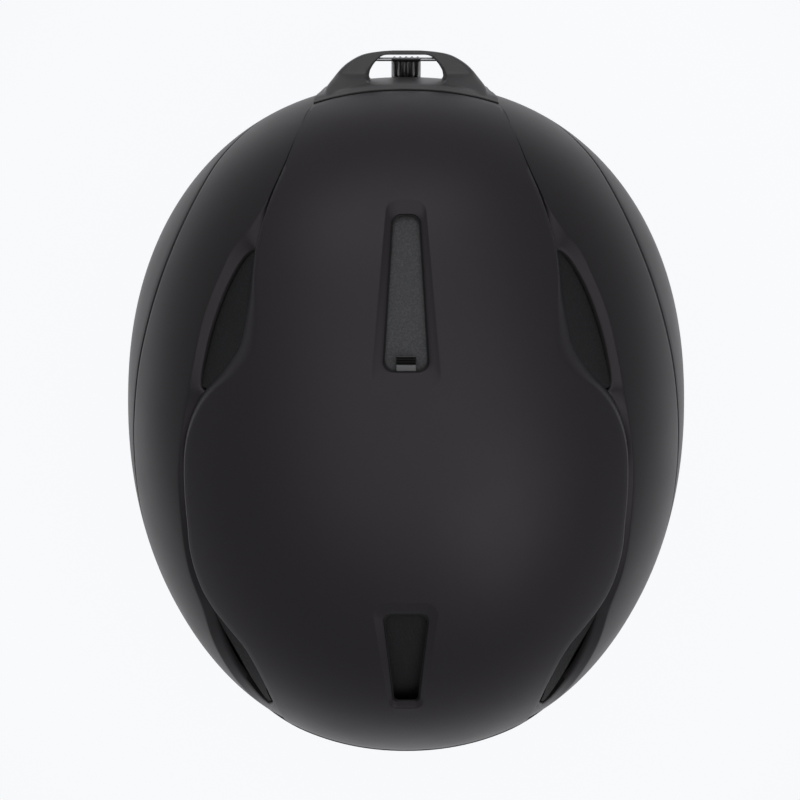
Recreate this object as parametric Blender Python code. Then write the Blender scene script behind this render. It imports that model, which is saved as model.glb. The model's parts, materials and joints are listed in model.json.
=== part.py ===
"""Ski helmet: hard outer shells over a foam liner, with the pads, straps and fit system inside.

Metres, +Z up. The front of the helmet faces -Y and the wearer's left is +X. The origin is on the
centre line at the shell's widest level, where the middle of the wearer's head is.

Nearly every part lies on the same egg-shaped dome. A place on it is an azimuth (degrees round from
the front), a polar angle (degrees down from the crown) and an inset (depth below the surface).
"""
import math

import bmesh
import bpy
from mathutils import Matrix, Vector

NAME = "ski_helmet"
GAP = 0.0003

# The dome's reach from the origin, and the powers of its superellipses.
HALF_WIDTH = 0.114
FRONT_REACH = 0.142
REAR_REACH = 0.130
CROWN_HEIGHT = 0.098
LOWER_DEPTH = 0.135
FRONT_POWER = 2.1
REAR_POWER = 2.2
UPPER_POWER = 2.2
LOWER_POWER = 2.4

# Insets of the layers, from the raised centre shell in to the head.
CENTER_RAISE = -0.0015
CENTER_INNER = 0.0008
SHELL_INNER = 0.0025
FOAM_OUTER = 0.0039
FOAM_INNER = 0.026
PAD_OUTER = 0.0270
PAD_INNER = 0.0322

# Lines on the dome, as (azimuth, height in mm) or (azimuth, polar angle).
RIM_HEIGHT = ((0, -10), (20, -11), (40, -16), (58, -24), (75, -34), (100, -38), (118, -46),
              (135, -52), (158, -52), (180, -50))
SEAM_HEIGHT = ((50, -20), (60, 1), (72, 15), (84, 23), (96, 30), (108, 36), (120, 38), (129, 36),
               (136, 31), (142, 23), (149, 13), (157, -3), (168, -12), (180, -14))
CENTER_EDGE = ((19, 94.5), (21.5, 84), (25, 76), (28.5, 71.5), (33, 68.4), (38, 67.6), (43, 67.4),
               (48, 66.6), (55, 64), (61, 61), (70, 58), (80, 55.2), (88, 52.2), (93, 49.3),
               (98, 45.6), (103, 43.2), (108, 42), (115, 42.6), (123.5, 44.6), (131, 46.8),
               (138, 50), (146, 55.2), (153, 61), (158.5, 68.5), (162.5, 76.3))
SEAM_FRONT = 50
SIDE_FRONT = 21.5
CLIP_EDGE = 162.5
CLIP_TOP = 76.3
SEAM_GAP = 0.22

# Vent openings beside the centre shell: (azimuth, polar) along the inner and the outer edge.
REAR_VENT_INNER = ((134.8, 50.0), (123.5, 45.2), (108, 42.6), (98.5, 46), (92.8, 50.2))
REAR_VENT_OUTER = ((134.8, 50.6), (126.5, 52), (115, 51.8), (104, 51.6), (93.6, 51.8))
FRONT_VENT_INNER = ((43.4, 68.2), (37.4, 68.3), (31.5, 69.8), (27.2, 75), (23.8, 82.5))
FRONT_VENT_OUTER = ((43.4, 68.8), (40.7, 72), (35.4, 76.6), (29.5, 81.4), (24.2, 84))
SCOOP_SHALLOW = 0.0036
SCOOP_DEEP = 0.0085
SCOOP_THICK = 0.0012
VENT_POCKET = 0.0108

# Centre-line vents: y at each end and the half width there.
MIDDLE_VENT = (0.011, 0.0095, 0.076, 0.0058)
BROW_VENT = (-0.123, 0.0051, -0.089, 0.0092)

# The sliding shutter under the middle vent turns about a lateral axis.
SHUTTER_Y = 0.01326
SHUTTER_Z = -0.04006
SHUTTER_RADIUS = 0.1348
SHUTTER_THICK = 0.0012
SHUTTER_HALF = 0.0118
SHUTTER_FROM = -2.3
SHUTTER_TO = 29.2
SHUTTER_TRAVEL = 15.5

# Goggle clip at the rear.
CLIP_Z = 0.012
CLIP_TALL = 0.012
BAR_BOTTOM = 0.0129
CLIP_PIN_Y = 0.1396
CLIP_PIN_Z = 0.0105
CLIP_PIN_RADIUS = 0.0008
CLIP_PIN_HALF = 0.0138
FLAP_HALF = 0.006
FLAP_FOOT = (0.1334, -0.0425)

# Ring of the fit system: a tilted circle round the back of the head.
RING_CENTER = Vector((0.0, 0.012, -0.036))
RING_TILT = math.radians(18)
RING_RADIUS = 0.078
BAND_THICK = 0.0016
BAND_HALF = 0.008
PITCH_RADIUS = 0.0063
PINION_TEETH = 14
TOOTH_PITCH = 2 * math.pi * PITCH_RADIUS / PINION_TEETH
TOOTH_OUT = 0.0008
TOOTH_IN = 0.0011
TOOTH_PLAY = 0.0003
RACK_BACK = 0.0117
HOUSING_HALF = 0.014
HOUSING_REACH = 0.035

# Straps.
SPLITTER = (84.7, -0.082, -0.096)
STRAP_INSET = (0.0052, 0.0067)
ANCHOR_INSET = (0.0037, 0.0049)
STRAP_ROOM = 0.0073
STRAP_HALF = 0.0075
CHIN_Y = -0.008
CHIN_HALF = 0.010
CHIN_THICK = 0.0016
BUCKLE_X = 0.070
CHIN_PATH = ((-0.0880, -0.1000), (-0.0868, -0.1080), (-0.0820, -0.1200), (-0.0700, -0.1340),
             (-0.0520, -0.1445), (-0.0280, -0.1500), (0.0, -0.1515), (0.0280, -0.1500),
             (0.0500, -0.1450), (0.0590, -0.1400))

# Colour, roughness and metallic value of each material.
MATERIALS = {
    "shell_black": ((0.030, 0.028, 0.031), 0.55, 0.0),
    "shell_side_black": ((0.041, 0.040, 0.040), 0.55, 0.0),
    "clip_grey": ((0.085, 0.080, 0.087), 0.45, 0.0),
    "trim_rubber": ((0.012, 0.012, 0.012), 0.8, 0.0),
    "foam": ((0.020, 0.020, 0.021), 0.9, 0.0),
    "pad_fabric": ((0.025, 0.025, 0.027), 0.95, 0.0),
    "vent_mesh": ((0.048, 0.048, 0.052), 0.9, 0.0),
    "webbing": ((0.012, 0.012, 0.013), 0.85, 0.0),
    "buckle_plastic": ((0.015, 0.015, 0.016), 0.4, 0.0),
    "fit_plastic": ((0.030, 0.030, 0.032), 0.45, 0.0),
    "steel": ((0.45, 0.45, 0.47), 0.3, 1.0),
}


# ---------------------------------------------------------------- scene and materials

def clear_scene():
    for item in list(bpy.data.objects):
        bpy.data.objects.remove(item, do_unlink=True)


def new_collection(name):
    collection = bpy.data.collections.new(name)
    bpy.context.scene.collection.children.link(collection)
    return collection


def make_material(name):
    color, roughness, metallic = MATERIALS[name]
    material = bpy.data.materials.new(name)
    material.use_nodes = True
    shader = material.node_tree.nodes["Principled BSDF"]
    shader.inputs["Base Color"].default_value = (*color, 1.0)
    shader.inputs["Roughness"].default_value = roughness
    shader.inputs["Metallic"].default_value = metallic
    material.diffuse_color = (*color, 1.0)
    return material


def add_object(name, bm, material, smooth=True):
    """Turn a bmesh into an object of the helmet, or into a cutter if it has no material."""
    mesh = bpy.data.meshes.new(name)
    bm.to_mesh(mesh)
    bm.free()
    item = bpy.data.objects.new(name, mesh)
    if material is None:
        cutters.objects.link(item)
        item.hide_render = True
        item.display_type = "WIRE"
        return item
    parts.objects.link(item)
    mesh.materials.append(materials[material])
    if smooth:
        mesh.shade_smooth()
        mesh.set_sharp_from_angle(angle=math.radians(35))
    return item


def cut(item, cutter, operation="DIFFERENCE"):
    modifier = item.modifiers.new(cutter.name, "BOOLEAN")
    modifier.operation = operation
    modifier.solver = "EXACT"
    modifier.object = cutter


def add_empty(name, location):
    empty = bpy.data.objects.new(name, None)
    empty.location = location
    empty.empty_display_size = 0.01
    parts.objects.link(empty)
    return empty


def hang_on(empty, items):
    """Parent the pieces of a moving body to the empty on its joint, without moving them."""
    for item in items:
        item.parent = empty
        item.matrix_parent_inverse = Matrix.Translation(-empty.location)


# ---------------------------------------------------------------- the dome

def blend_curve(points, x):
    """Smooth curve through (x, value) points, level with its neighbours' slope at each."""
    last = len(points) - 1
    if x <= points[0][0]:
        return points[0][1]
    if x >= points[last][0]:
        return points[last][1]
    i = max(k for k in range(last) if points[k][0] <= x)
    x0, y0 = points[i]
    x1, y1 = points[i + 1]
    before = points[max(i - 1, 0)]
    after = points[min(i + 2, last)]
    slope0 = (y1 - before[1]) / (x1 - before[0])
    slope1 = (after[1] - y0) / (after[0] - x0)
    span = x1 - x0
    t = (x - x0) / span
    return ((2 * t ** 3 - 3 * t ** 2 + 1) * y0 + (t ** 3 - 2 * t ** 2 + t) * span * slope0
            + (3 * t ** 2 - 2 * t ** 3) * y1 + (t ** 3 - t ** 2) * span * slope1)


def fold(azimuth):
    """The same place on the wearer's left half, 0 at the front to 180 at the rear."""
    return abs((azimuth + 180) % 360 - 180)


def plan_sum(x, y, inset):
    reach, power = (FRONT_REACH, FRONT_POWER) if y < 0 else (REAR_REACH, REAR_POWER)
    side = (abs(x) / (HALF_WIDTH - inset)) ** power
    end = (abs(y) / (reach - inset)) ** power
    return (side + end) ** (1 / power)


def dome_point(azimuth, polar, inset):
    turn = math.radians(azimuth)
    drop = math.radians(polar)
    ray = Vector((math.sin(turn) * math.sin(drop), -math.cos(turn) * math.sin(drop), math.cos(drop)))
    height, power = (CROWN_HEIGHT, UPPER_POWER) if ray.z > 0 else (LOWER_DEPTH, LOWER_POWER)
    plan = plan_sum(ray.x, ray.y, inset) ** power
    up = (abs(ray.z) / (height - inset)) ** power
    return ray / (plan + up) ** (1 / power)


def dome_over(x, y, inset):
    """The dome's point straight above (x, y)."""
    plan = plan_sum(x, y, inset)
    return Vector((x, y, (CROWN_HEIGHT - inset) * (1 - plan ** UPPER_POWER) ** (1 / UPPER_POWER)))


def polar_at(azimuth, height, inset=0.0):
    """Polar angle at which the dome passes a height."""
    turn = math.radians(azimuth)
    depth, power = (CROWN_HEIGHT, UPPER_POWER) if height > 0 else (LOWER_DEPTH, LOWER_POWER)
    level = (1 - (abs(height) / (depth - inset)) ** power) ** (1 / power)
    reach = level / plan_sum(math.sin(turn), -math.cos(turn), inset)
    return math.degrees(math.atan2(reach, height))


def rim_polar(azimuth):
    return polar_at(azimuth, blend_curve(RIM_HEIGHT, fold(azimuth)) / 1000)


def seam_polar(azimuth):
    return polar_at(azimuth, blend_curve(SEAM_HEIGHT, fold(azimuth)) / 1000)


def center_polar(azimuth):
    """Edge of the raised centre shell: the rim in front, the goggle clip's top edge behind."""
    turn = fold(azimuth)
    if turn <= CENTER_EDGE[0][0]:
        return rim_polar(azimuth)
    if turn >= CLIP_EDGE:
        return CLIP_TOP
    return blend_curve(CENTER_EDGE, turn)


def both_sides(values):
    """Azimuths mirrored to the right, from -180 through the front to 180."""
    return [-value for value in reversed(values) if value > 0] + list(values)


def spread(first, last, count):
    return [first + (last - first) * i / count for i in range(count + 1)]


# ---------------------------------------------------------------- building blocks

def slab(name, stations, rows, place, material, ring=False, pole=False):
    """Wrap a flat slab of grid: place(station, v, w) gives a point, v and w run from 0 to 1.

    With ring the first and last station meet, and with pole all stations meet at v = 0.
    """
    count = len(stations) - 1
    bm = bmesh.new()
    bmesh.ops.create_grid(bm, x_segments=count, y_segments=rows, size=0.5)
    raised = bmesh.ops.extrude_face_region(bm, geom=bm.faces[:])
    for item in raised["geom"]:
        if isinstance(item, bmesh.types.BMVert):
            item.co.z = 1.0
    inner_walls = []
    for face in bm.faces:
        at_end = abs(sum(vert.co.x for vert in face.verts)) > 0.499 * len(face.verts)
        at_pole = sum(vert.co.y for vert in face.verts) < -0.499 * len(face.verts)
        if (ring and at_end) or (pole and at_pole):
            inner_walls.append(face)
    bmesh.ops.delete(bm, geom=inner_walls, context="FACES_ONLY")
    for vert in bm.verts:
        station = stations[round((vert.co.x + 0.5) * count)]
        vert.co = place(station, vert.co.y + 0.5, vert.co.z)
    bmesh.ops.remove_doubles(bm, verts=bm.verts[:], dist=1e-6)
    loose = [edge for edge in bm.edges if not edge.link_faces]
    bmesh.ops.delete(bm, geom=loose, context="EDGES")
    bmesh.ops.recalc_face_normals(bm, faces=bm.faces[:])
    return add_object(name, bm, material)


def dome_slab(name, azimuths, rows, upper, lower, insets, material, ring=False, pole=False):
    """Piece of the dome between two polar lines and two insets."""
    def place(azimuth, v, w):
        top = upper(azimuth)
        polar = top + (lower(azimuth) - top) * v
        inset = insets[0] + (insets[1] - insets[0]) * w
        return dome_point(azimuth, polar, inset)
    return slab(name, azimuths, rows, place, material, ring, pole)


def prism(name, low_loop, high_loop, material=None, smooth=False):
    """Solid between two loops with the same number of points."""
    bm = bmesh.new()
    low = [bm.verts.new(point) for point in low_loop]
    high = [bm.verts.new(point) for point in high_loop]
    bm.faces.new(low)
    bm.faces.new(high)
    for i in range(len(low)):
        k = (i + 1) % len(low)
        bm.faces.new((low[i], low[k], high[k], high[i]))
    bmesh.ops.recalc_face_normals(bm, faces=bm.faces[:])
    return add_object(name, bm, material, smooth)


def radial_cutter(name, loop, out, depth):
    """Cutter through the surface loop, with walls that point at the origin."""
    low = [point * (1 - depth / point.length) for point in loop]
    high = [point * (1 + out / point.length) for point in loop]
    return prism(name, low, high)


def box(name, center, size, material=None, rotation=None, bevel=0.0):
    bm = bmesh.new()
    bmesh.ops.create_cube(bm, size=1.0)
    bmesh.ops.scale(bm, vec=size, verts=bm.verts[:])
    if bevel:
        bmesh.ops.bevel(bm, geom=bm.edges[:], offset=bevel, segments=1, affect="EDGES")
    if rotation:
        bmesh.ops.rotate(bm, matrix=rotation, verts=bm.verts[:])
    bmesh.ops.translate(bm, vec=center, verts=bm.verts[:])
    return add_object(name, bm, material, smooth=False)


def cylinder(name, start, end, radius, material=None, segments=12):
    start = Vector(start)
    run = Vector(end) - start
    bm = bmesh.new()
    bmesh.ops.create_cone(bm, cap_ends=True, segments=segments, radius1=radius, radius2=radius,
                          depth=run.length)
    bmesh.ops.rotate(bm, matrix=run.to_track_quat("Z", "Y").to_matrix(), verts=bm.verts[:])
    bmesh.ops.translate(bm, vec=start + run / 2, verts=bm.verts[:])
    return add_object(name, bm, material)


# ---------------------------------------------------------------- shells

CENTER_AZIMUTHS = (0, 7, 13, 19) + tuple(point[0] for point in CENTER_EDGE[1:]) + (168, 174, 180)
LOOP_AZIMUTHS = spread(-180, 180, 48)


def slot_loop(vent, grow):
    """Rounded trapezium on the dome along the centre line."""
    y0, half0, y1, half1 = vent
    y0, y1 = y0 - grow, y1 + grow
    half0, half1 = half0 + grow, half1 + grow
    corner0, corner1 = half0 * 0.45, half1 * 0.45
    side = [(half0 - corner0, y0), (half0 - 0.25 * corner0, y0 + 0.25 * corner0),
            (half0, y0 + corner0), (half1, y1 - corner1),
            (half1 - 0.25 * corner1, y1 - 0.25 * corner1), (half1 - corner1, y1)]
    loop = side + [(-x, y) for x, y in reversed(side)]
    return [dome_over(x, y, 0.0) for x, y in loop]


def side_vent_loop(inner, outer, side, overrun=0.0):
    """Edge of a side vent; overrun moves its inner edge towards the crown."""
    edge = [(azimuth, polar - overrun) for azimuth, polar in inner]
    corners = list(outer) + list(reversed(edge))
    return [dome_point(side * azimuth, polar, 0.0) for azimuth, polar in corners]


def make_center_shell():
    """Raised shell: five even rows over the crown, then three that reach its uneven edge."""
    def place(azimuth, v, w):
        edge = center_polar(azimuth)
        crown = 0.88 * min(edge, 67.0)
        polar = crown * v * 8 / 5 if v < 5.5 / 8 else crown + (edge - crown) * (v * 8 - 5) / 3
        return dome_point(azimuth, polar, CENTER_RAISE + (CENTER_INNER - CENTER_RAISE) * w)
    shell = slab("shell_center", both_sides(CENTER_AZIMUTHS), 8, place, "shell_black",
                 ring=True, pole=True)
    cut(shell, radial_cutter("middle_vent_hole", slot_loop(MIDDLE_VENT, 0.0), 0.01, 0.01))
    cut(shell, radial_cutter("brow_vent_hole", slot_loop(BROW_VENT, 0.0), 0.01, 0.01))
    return shell


def side_azimuths(first, last=180):
    """Azimuths of the centre shell's corners from first, round the rear to the other side."""
    half = [value for value in CENTER_AZIMUTHS if first <= value <= last]
    return half + [360 - value for value in reversed(half[:-1])]


def make_side_shell():
    def lower(azimuth):
        if fold(azimuth) < SEAM_FRONT:
            return rim_polar(azimuth)
        return seam_polar(azimuth) - SEAM_GAP
    shell = dome_slab("shell_side", side_azimuths(SIDE_FRONT), 4,
                      lambda azimuth: center_polar(azimuth) + 2 * SEAM_GAP, lower,
                      (0.0, SHELL_INNER), "shell_side_black")
    for side, word in ((1, "left"), (-1, "right")):
        rear = side_vent_loop(REAR_VENT_INNER, REAR_VENT_OUTER, side, 2.5)
        front = side_vent_loop(FRONT_VENT_INNER, FRONT_VENT_OUTER, side, 2.5)
        cut(shell, radial_cutter("rear_vent_hole_" + word, rear, 0.01, 0.01))
        cut(shell, radial_cutter("front_vent_hole_" + word, front, 0.01, 0.01))
    return shell


def make_lower_shell():
    azimuths = spread(SEAM_FRONT + 3, 360 - SEAM_FRONT - 3, 36)
    return dome_slab("shell_lower", azimuths, 5, lambda azimuth: seam_polar(azimuth) + SEAM_GAP,
                     rim_polar, (0.0, SHELL_INNER), "shell_side_black")


def make_rim_trim():
    """Rubber edging under the rim of the shells."""
    def place(azimuth, v, w):
        inset = -0.0006 + 0.0048 * v
        return dome_point(azimuth, rim_polar(azimuth) + 0.16 + 1.1 * w, inset)
    return slab("rim_trim", LOOP_AZIMUTHS, 1, place, "trim_rubber", ring=True)


# ---------------------------------------------------------------- vents

def side_scoop(name, inner, outer, side):
    """Mesh floor of a side vent, shallow beside the centre shell and deep under the lip."""
    def edge_point(edge, spot, shift):
        azimuth, polar = (blend_curve([(i, point[k]) for i, point in enumerate(edge)], spot)
                          for k in (0, 1))
        return dome_point(side * azimuth, polar + shift, 0.0)
    def place(spot, v, w):
        near = edge_point(inner, spot, 0.3)
        far = edge_point(outer, spot, -0.1)
        margin = 0.06
        point = near.lerp(far, margin + (1 - 2 * margin) * v)
        depth = SCOOP_SHALLOW + (SCOOP_DEEP - SCOOP_SHALLOW) * v + SCOOP_THICK * w
        return point * (1 - depth / point.length)
    return slab(name, (0.8, 1.5, 2.2, 3.0, 3.75), 2, place, "vent_mesh")


def make_side_scoops():
    scoops = []
    for side, word in ((1, "left"), (-1, "right")):
        scoops.append(side_scoop("vent_mesh_rear_" + word, REAR_VENT_INNER, REAR_VENT_OUTER, side))
        scoops.append(side_scoop("vent_mesh_front_" + word, FRONT_VENT_INNER, FRONT_VENT_OUTER,
                                 side))
    return scoops


def make_brow_scoop():
    """Floor of the front vent, which deepens towards the brow."""
    y0, half0, y1, half1 = BROW_VENT
    def place(v_along, v, w):
        y = y1 - 0.0008 - (y1 - y0 - 0.0045) * v_along
        half = half1 + (half0 - half1) * v_along - 0.0006
        point = dome_over(half * (2 * v - 1), y, 0.0)
        depth = SCOOP_SHALLOW + (SCOOP_DEEP - SCOOP_SHALLOW) * v_along + SCOOP_THICK * w
        return point * (1 - depth / point.length)
    return slab("vent_mesh_brow", spread(0, 1, 4), 2, place, "vent_mesh")


def shutter_point(angle, x, radius):
    turn = math.radians(angle)
    return Vector((x, SHUTTER_Y + radius * math.sin(turn), SHUTTER_Z + radius * math.cos(turn)))


def shutter_slab(name, angles, half, low, high, material):
    def place(angle, v, w):
        return shutter_point(angle, half * (2 * v - 1), low + (high - low) * w)
    return slab(name, angles, 1, place, material)


def make_shutter():
    plate = shutter_slab("vent_shutter", spread(SHUTTER_FROM, SHUTTER_TO, 10), SHUTTER_HALF,
                         SHUTTER_RADIUS - SHUTTER_THICK, SHUTTER_RADIUS, "vent_mesh")
    knob = shutter_slab("vent_slider_knob", spread(-0.75, 1.85, 2), 0.004, SHUTTER_RADIUS + GAP,
                        SHUTTER_RADIUS + 0.0046, "clip_grey")
    pivot = add_empty("shutter_axis", (0, SHUTTER_Y, SHUTTER_Z))
    hang_on(pivot, (plate, knob))
    return plate, knob


# ---------------------------------------------------------------- foam liner and pads

STRAP_ENDS = (("front", 62, -5.5), ("rear", 126, 5.5))
STUD_AZIMUTHS = (76, 108)
STUD_INSET = 0.0145
STUD_RADIUS = 0.0025
STUD_REACH = 0.006


def stud_line(azimuth, reach):
    """Axis of an ear-pad stud: it crosses the gap between the foam's edge and the pad."""
    top = dome_point(azimuth, rim_polar(azimuth), STUD_INSET)
    middle = dome_point(azimuth, rim_polar(azimuth) + 1.6, STUD_INSET)
    along = (middle - top).normalized()
    return middle - along * reach, middle + along * reach


def make_foam_liner():
    foam = dome_slab("foam_liner", LOOP_AZIMUTHS, 11, lambda azimuth: 0.0, rim_polar,
                     (FOAM_OUTER, FOAM_INNER), "foam", ring=True, pole=True)
    pocket = shutter_slab("shutter_pocket", spread(SHUTTER_FROM - 0.6, SHUTTER_TO
                          + SHUTTER_TRAVEL + 0.6, 10), SHUTTER_HALF + 0.0006,
                          SHUTTER_RADIUS - SHUTTER_THICK - 0.0006, SHUTTER_RADIUS + 0.003, None)
    cut(foam, pocket)
    cut(foam, radial_cutter("middle_channel", slot_loop((0.016, 0.0062, 0.071, 0.0046), 0.0),
                            0.01, 0.045))
    cut(foam, radial_cutter("brow_pocket", slot_loop(BROW_VENT, 0.0005), 0.01, VENT_POCKET))
    cut(foam, radial_cutter("brow_channel", slot_loop((-0.1215, 0.004, -0.113, 0.005), 0.0),
                            0.01, 0.045))
    for side, word in ((1, "left"), (-1, "right")):
        rear = side_vent_loop(REAR_VENT_INNER, REAR_VENT_OUTER, side)
        front = side_vent_loop(FRONT_VENT_INNER, FRONT_VENT_OUTER, side)
        cut(foam, radial_cutter("rear_vent_pocket_" + word, rear, 0.01, VENT_POCKET))
        cut(foam, radial_cutter("front_vent_pocket_" + word, front, 0.01, VENT_POCKET))
        for end, azimuth, shift in STRAP_ENDS:
            top, foot = strap_route(side, azimuth, shift)
            start = (top[0] - (foot[0] - top[0]) * 0.08, top[1] - (foot[1] - top[1]) * 0.08)
            cut(foam, surface_ribbon("strap_pocket_" + end + "_" + word, start, foot,
                                     STRAP_HALF + 0.001, (-0.003, STRAP_ROOM), None))
        for azimuth in STUD_AZIMUTHS:
            start, end_point = stud_line(side * azimuth, STUD_REACH + GAP)
            cut(foam, cylinder("stud_hole_%d_%s" % (azimuth, word), start, end_point,
                               STUD_RADIUS + GAP))
    return foam


def band_pad(name, azimuths, high, low, insets=(PAD_OUTER, PAD_INNER), rows=2):
    """Comfort pad between two heights."""
    return dome_slab(name, azimuths, rows, lambda azimuth: polar_at(azimuth, high),
                     lambda azimuth: min(polar_at(azimuth, low), rim_polar(azimuth) - 0.6),
                     insets, "pad_fabric")


def make_pads():
    pads = [band_pad("brow_pad", spread(-50, 50, 12), 0.024, -0.03, (PAD_OUTER, 0.033))]
    for side, word in ((1, "left"), (-1, "right")):
        pads.append(band_pad("side_pad_" + word, spread(side * 58, side * 112, 7), 0.038, -0.010))
        pads.append(band_pad("rear_pad_" + word, spread(side * 120, side * 154, 5), 0.042, -0.024))
        pads.append(crown_pad("crown_pad_" + word, side))
    return pads


def crown_pad(name, side):
    def place(y, v, w):
        inset = PAD_OUTER + (PAD_INNER - PAD_OUTER) * w
        return dome_over(side * (0.012 + 0.028 * v), y, inset)
    return slab(name, spread(-0.066, 0.060, 9), 2, place, "pad_fabric")


def make_ear_pads():
    """Soft ear flaps below the rim, each pinned to the foam by two studs."""
    made = []
    for side, word in ((1, "left"), (-1, "right")):
        def lower(azimuth):
            across = (fold(azimuth) - 92) / 34
            return polar_at(azimuth, -0.090 + 0.030 * across ** 4)
        pad = dome_slab("ear_pad_" + word, spread(side * 60, side * 124, 10), 4,
                        lambda azimuth: rim_polar(azimuth) + 3.0, lower, (0.0076, 0.022),
                        "pad_fabric")
        for azimuth in STUD_AZIMUTHS:
            start, end = stud_line(side * azimuth, STUD_REACH + GAP)
            cut(pad, cylinder("pad_hole_%d_%s" % (azimuth, word), start, end, STUD_RADIUS + GAP))
            start, end = stud_line(side * azimuth, STUD_REACH)
            spot = "front" if azimuth < 90 else "rear"
            made.append(cylinder("ear_stud_%s_%s" % (spot, word), start, end, STUD_RADIUS,
                                 "fit_plastic", 10))
        made.append(pad)
    return made


# ---------------------------------------------------------------- goggle clip

def clip_outline(points):
    return points + [(-x, y) for x, y in reversed(points)]


def make_goggle_clip():
    """Plastic base on the rear of the shell with a bridge that stands off it."""
    azimuths = spread(CLIP_EDGE, 360 - CLIP_EDGE, 8)
    base = dome_slab("goggle_clip_base", azimuths, 3, lambda azimuth: CLIP_TOP + 0.35,
                     lambda azimuth: polar_at(azimuth, -0.008), (-0.0024, -0.0005), "clip_grey")
    bridge_plan = clip_outline([(0.0325, 0.1262), (0.0330, 0.1285), (0.0300, 0.1328),
                                (0.0250, 0.1375), (0.0200, 0.1410), (0.0140, 0.1425),
                                (0.0084, 0.1431)])
    low = CLIP_Z - CLIP_TALL / 2
    high = CLIP_Z + CLIP_TALL / 2
    bridge = prism("clip_bridge", [(x, y, low) for x, y in bridge_plan],
                   [(x, y, high) for x, y in bridge_plan])
    window_plan = clip_outline([(0.0170, 0.1150), (0.0162, 0.1310), (0.0148, 0.1345),
                                (0.0126, 0.1380), (0.0108, 0.1412)])
    window = prism("clip_window", [(x, y, low - 0.01) for x, y in window_plan],
                   [(x, y, high + 0.01) for x, y in window_plan])
    cut(bridge, window)
    swing_room = box("flap_swing_room", (0, 0.1435, BAR_BOTTOM - 0.010), (0.0208, 0.015, 0.020))
    cut(bridge, swing_room)
    cut(base, bridge, "UNION")
    shell_room = dome_slab("clip_shell_room", spread(152, 208, 14), 12, lambda azimuth: 66.0,
                           lambda azimuth: 114.0, (-0.0006, 0.03), None)
    cut(base, shell_room)
    reach = CLIP_PIN_HALF + GAP
    pin_hole = cylinder("clip_pin_hole", (-reach, CLIP_PIN_Y, CLIP_PIN_Z),
                        (reach, CLIP_PIN_Y, CLIP_PIN_Z), CLIP_PIN_RADIUS + GAP)
    cut(base, pin_hole)
    return base


def make_clip_flap():
    """Ribbed flap that hangs from the pin and holds the goggle strap against the shell."""
    pin = cylinder("goggle_clip_pin", (-CLIP_PIN_HALF, CLIP_PIN_Y, CLIP_PIN_Z),
                   (CLIP_PIN_HALF, CLIP_PIN_Y, CLIP_PIN_Z), CLIP_PIN_RADIUS, "steel", 10)
    foot_y, foot_z = FLAP_FOOT
    top = Vector((CLIP_PIN_Y, CLIP_PIN_Z))
    foot = Vector((foot_y, foot_z))
    along = (foot - top).normalized()
    outward = Vector((-along.y, along.x))
    half = 0.0011
    def section(distance, offset):
        return top + along * distance + outward * offset
    reach = (foot - top).length
    rim = [section(-0.0014, -half), section(reach - 0.004, -half), section(reach, -half - 0.0012),
           section(reach + 0.006, half), section(reach + 0.006, half + 0.0012),
           section(reach - 0.004, half), section(-0.0014, half)]
    flap = prism("goggle_clip_flap", [(-FLAP_HALF, y, z) for y, z in rim],
                 [(FLAP_HALF, y, z) for y, z in rim], "trim_rubber")
    cut(flap, cylinder("flap_pin_hole", (-0.01, CLIP_PIN_Y, CLIP_PIN_Z),
                       (0.01, CLIP_PIN_Y, CLIP_PIN_Z), CLIP_PIN_RADIUS + GAP / 2))
    hang_on(add_empty("flap_axis", (0, CLIP_PIN_Y, CLIP_PIN_Z)), (flap,))
    return pin, flap


def make_clip_catch():
    """Small block on the lower shell that the flap's foot rests on."""
    block = box("goggle_clip_catch", (0, 0.1278, -0.043), (0.011, 0.0056, 0.007), "clip_grey")
    cut(block, bpy.data.objects["clip_shell_room"])
    return block


def make_clip_screws():
    screws = []
    for side, word in ((1, "left"), (-1, "right")):
        spot = dome_point(180 - side * 12.5, 91.2, -0.0024 - GAP)
        inward = -spot.normalized()
        screws.append(cylinder("clip_screw_" + word, spot, spot - inward * 0.0012, 0.0024,
                               "steel", 12))
    return screws


# ---------------------------------------------------------------- fit system

def ring_point(arc, radius, height):
    """Point on the fit ring: arc is the distance along it from the nape towards +X."""
    rearward = Vector((0, math.cos(RING_TILT), -math.sin(RING_TILT)))
    upward = Vector((0, math.sin(RING_TILT), math.cos(RING_TILT)))
    turn = arc / RING_RADIUS
    outward = Vector((1, 0, 0)) * math.sin(turn) + rearward * math.cos(turn)
    return RING_CENTER + outward * radius + upward * height


def ring_slab(name, arcs, radii, heights, material):
    def place(arc, v, w):
        radius = radii[0] + (radii[1] - radii[0]) * w
        height = heights[0] + (heights[1] - heights[0]) * v
        return ring_point(arc, radius, height)
    return slab(name, arcs, 1, place, material)


def rack_profile():
    """(arc, edge height) along the toothed edge of the left band, teeth pointing down."""
    points = []
    tip = PITCH_RADIUS - TOOTH_OUT
    root = PITCH_RADIUS + TOOTH_IN
    flat = TOOTH_PITCH / 4 - TOOTH_PLAY / 2
    slant = 0.00032
    for tooth in range(-1, 9):
        middle = tooth * TOOTH_PITCH
        points += [(middle - flat - slant, root), (middle - flat + slant, tip),
                   (middle + flat - slant, tip), (middle + flat + slant, root)]
    return points


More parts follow.
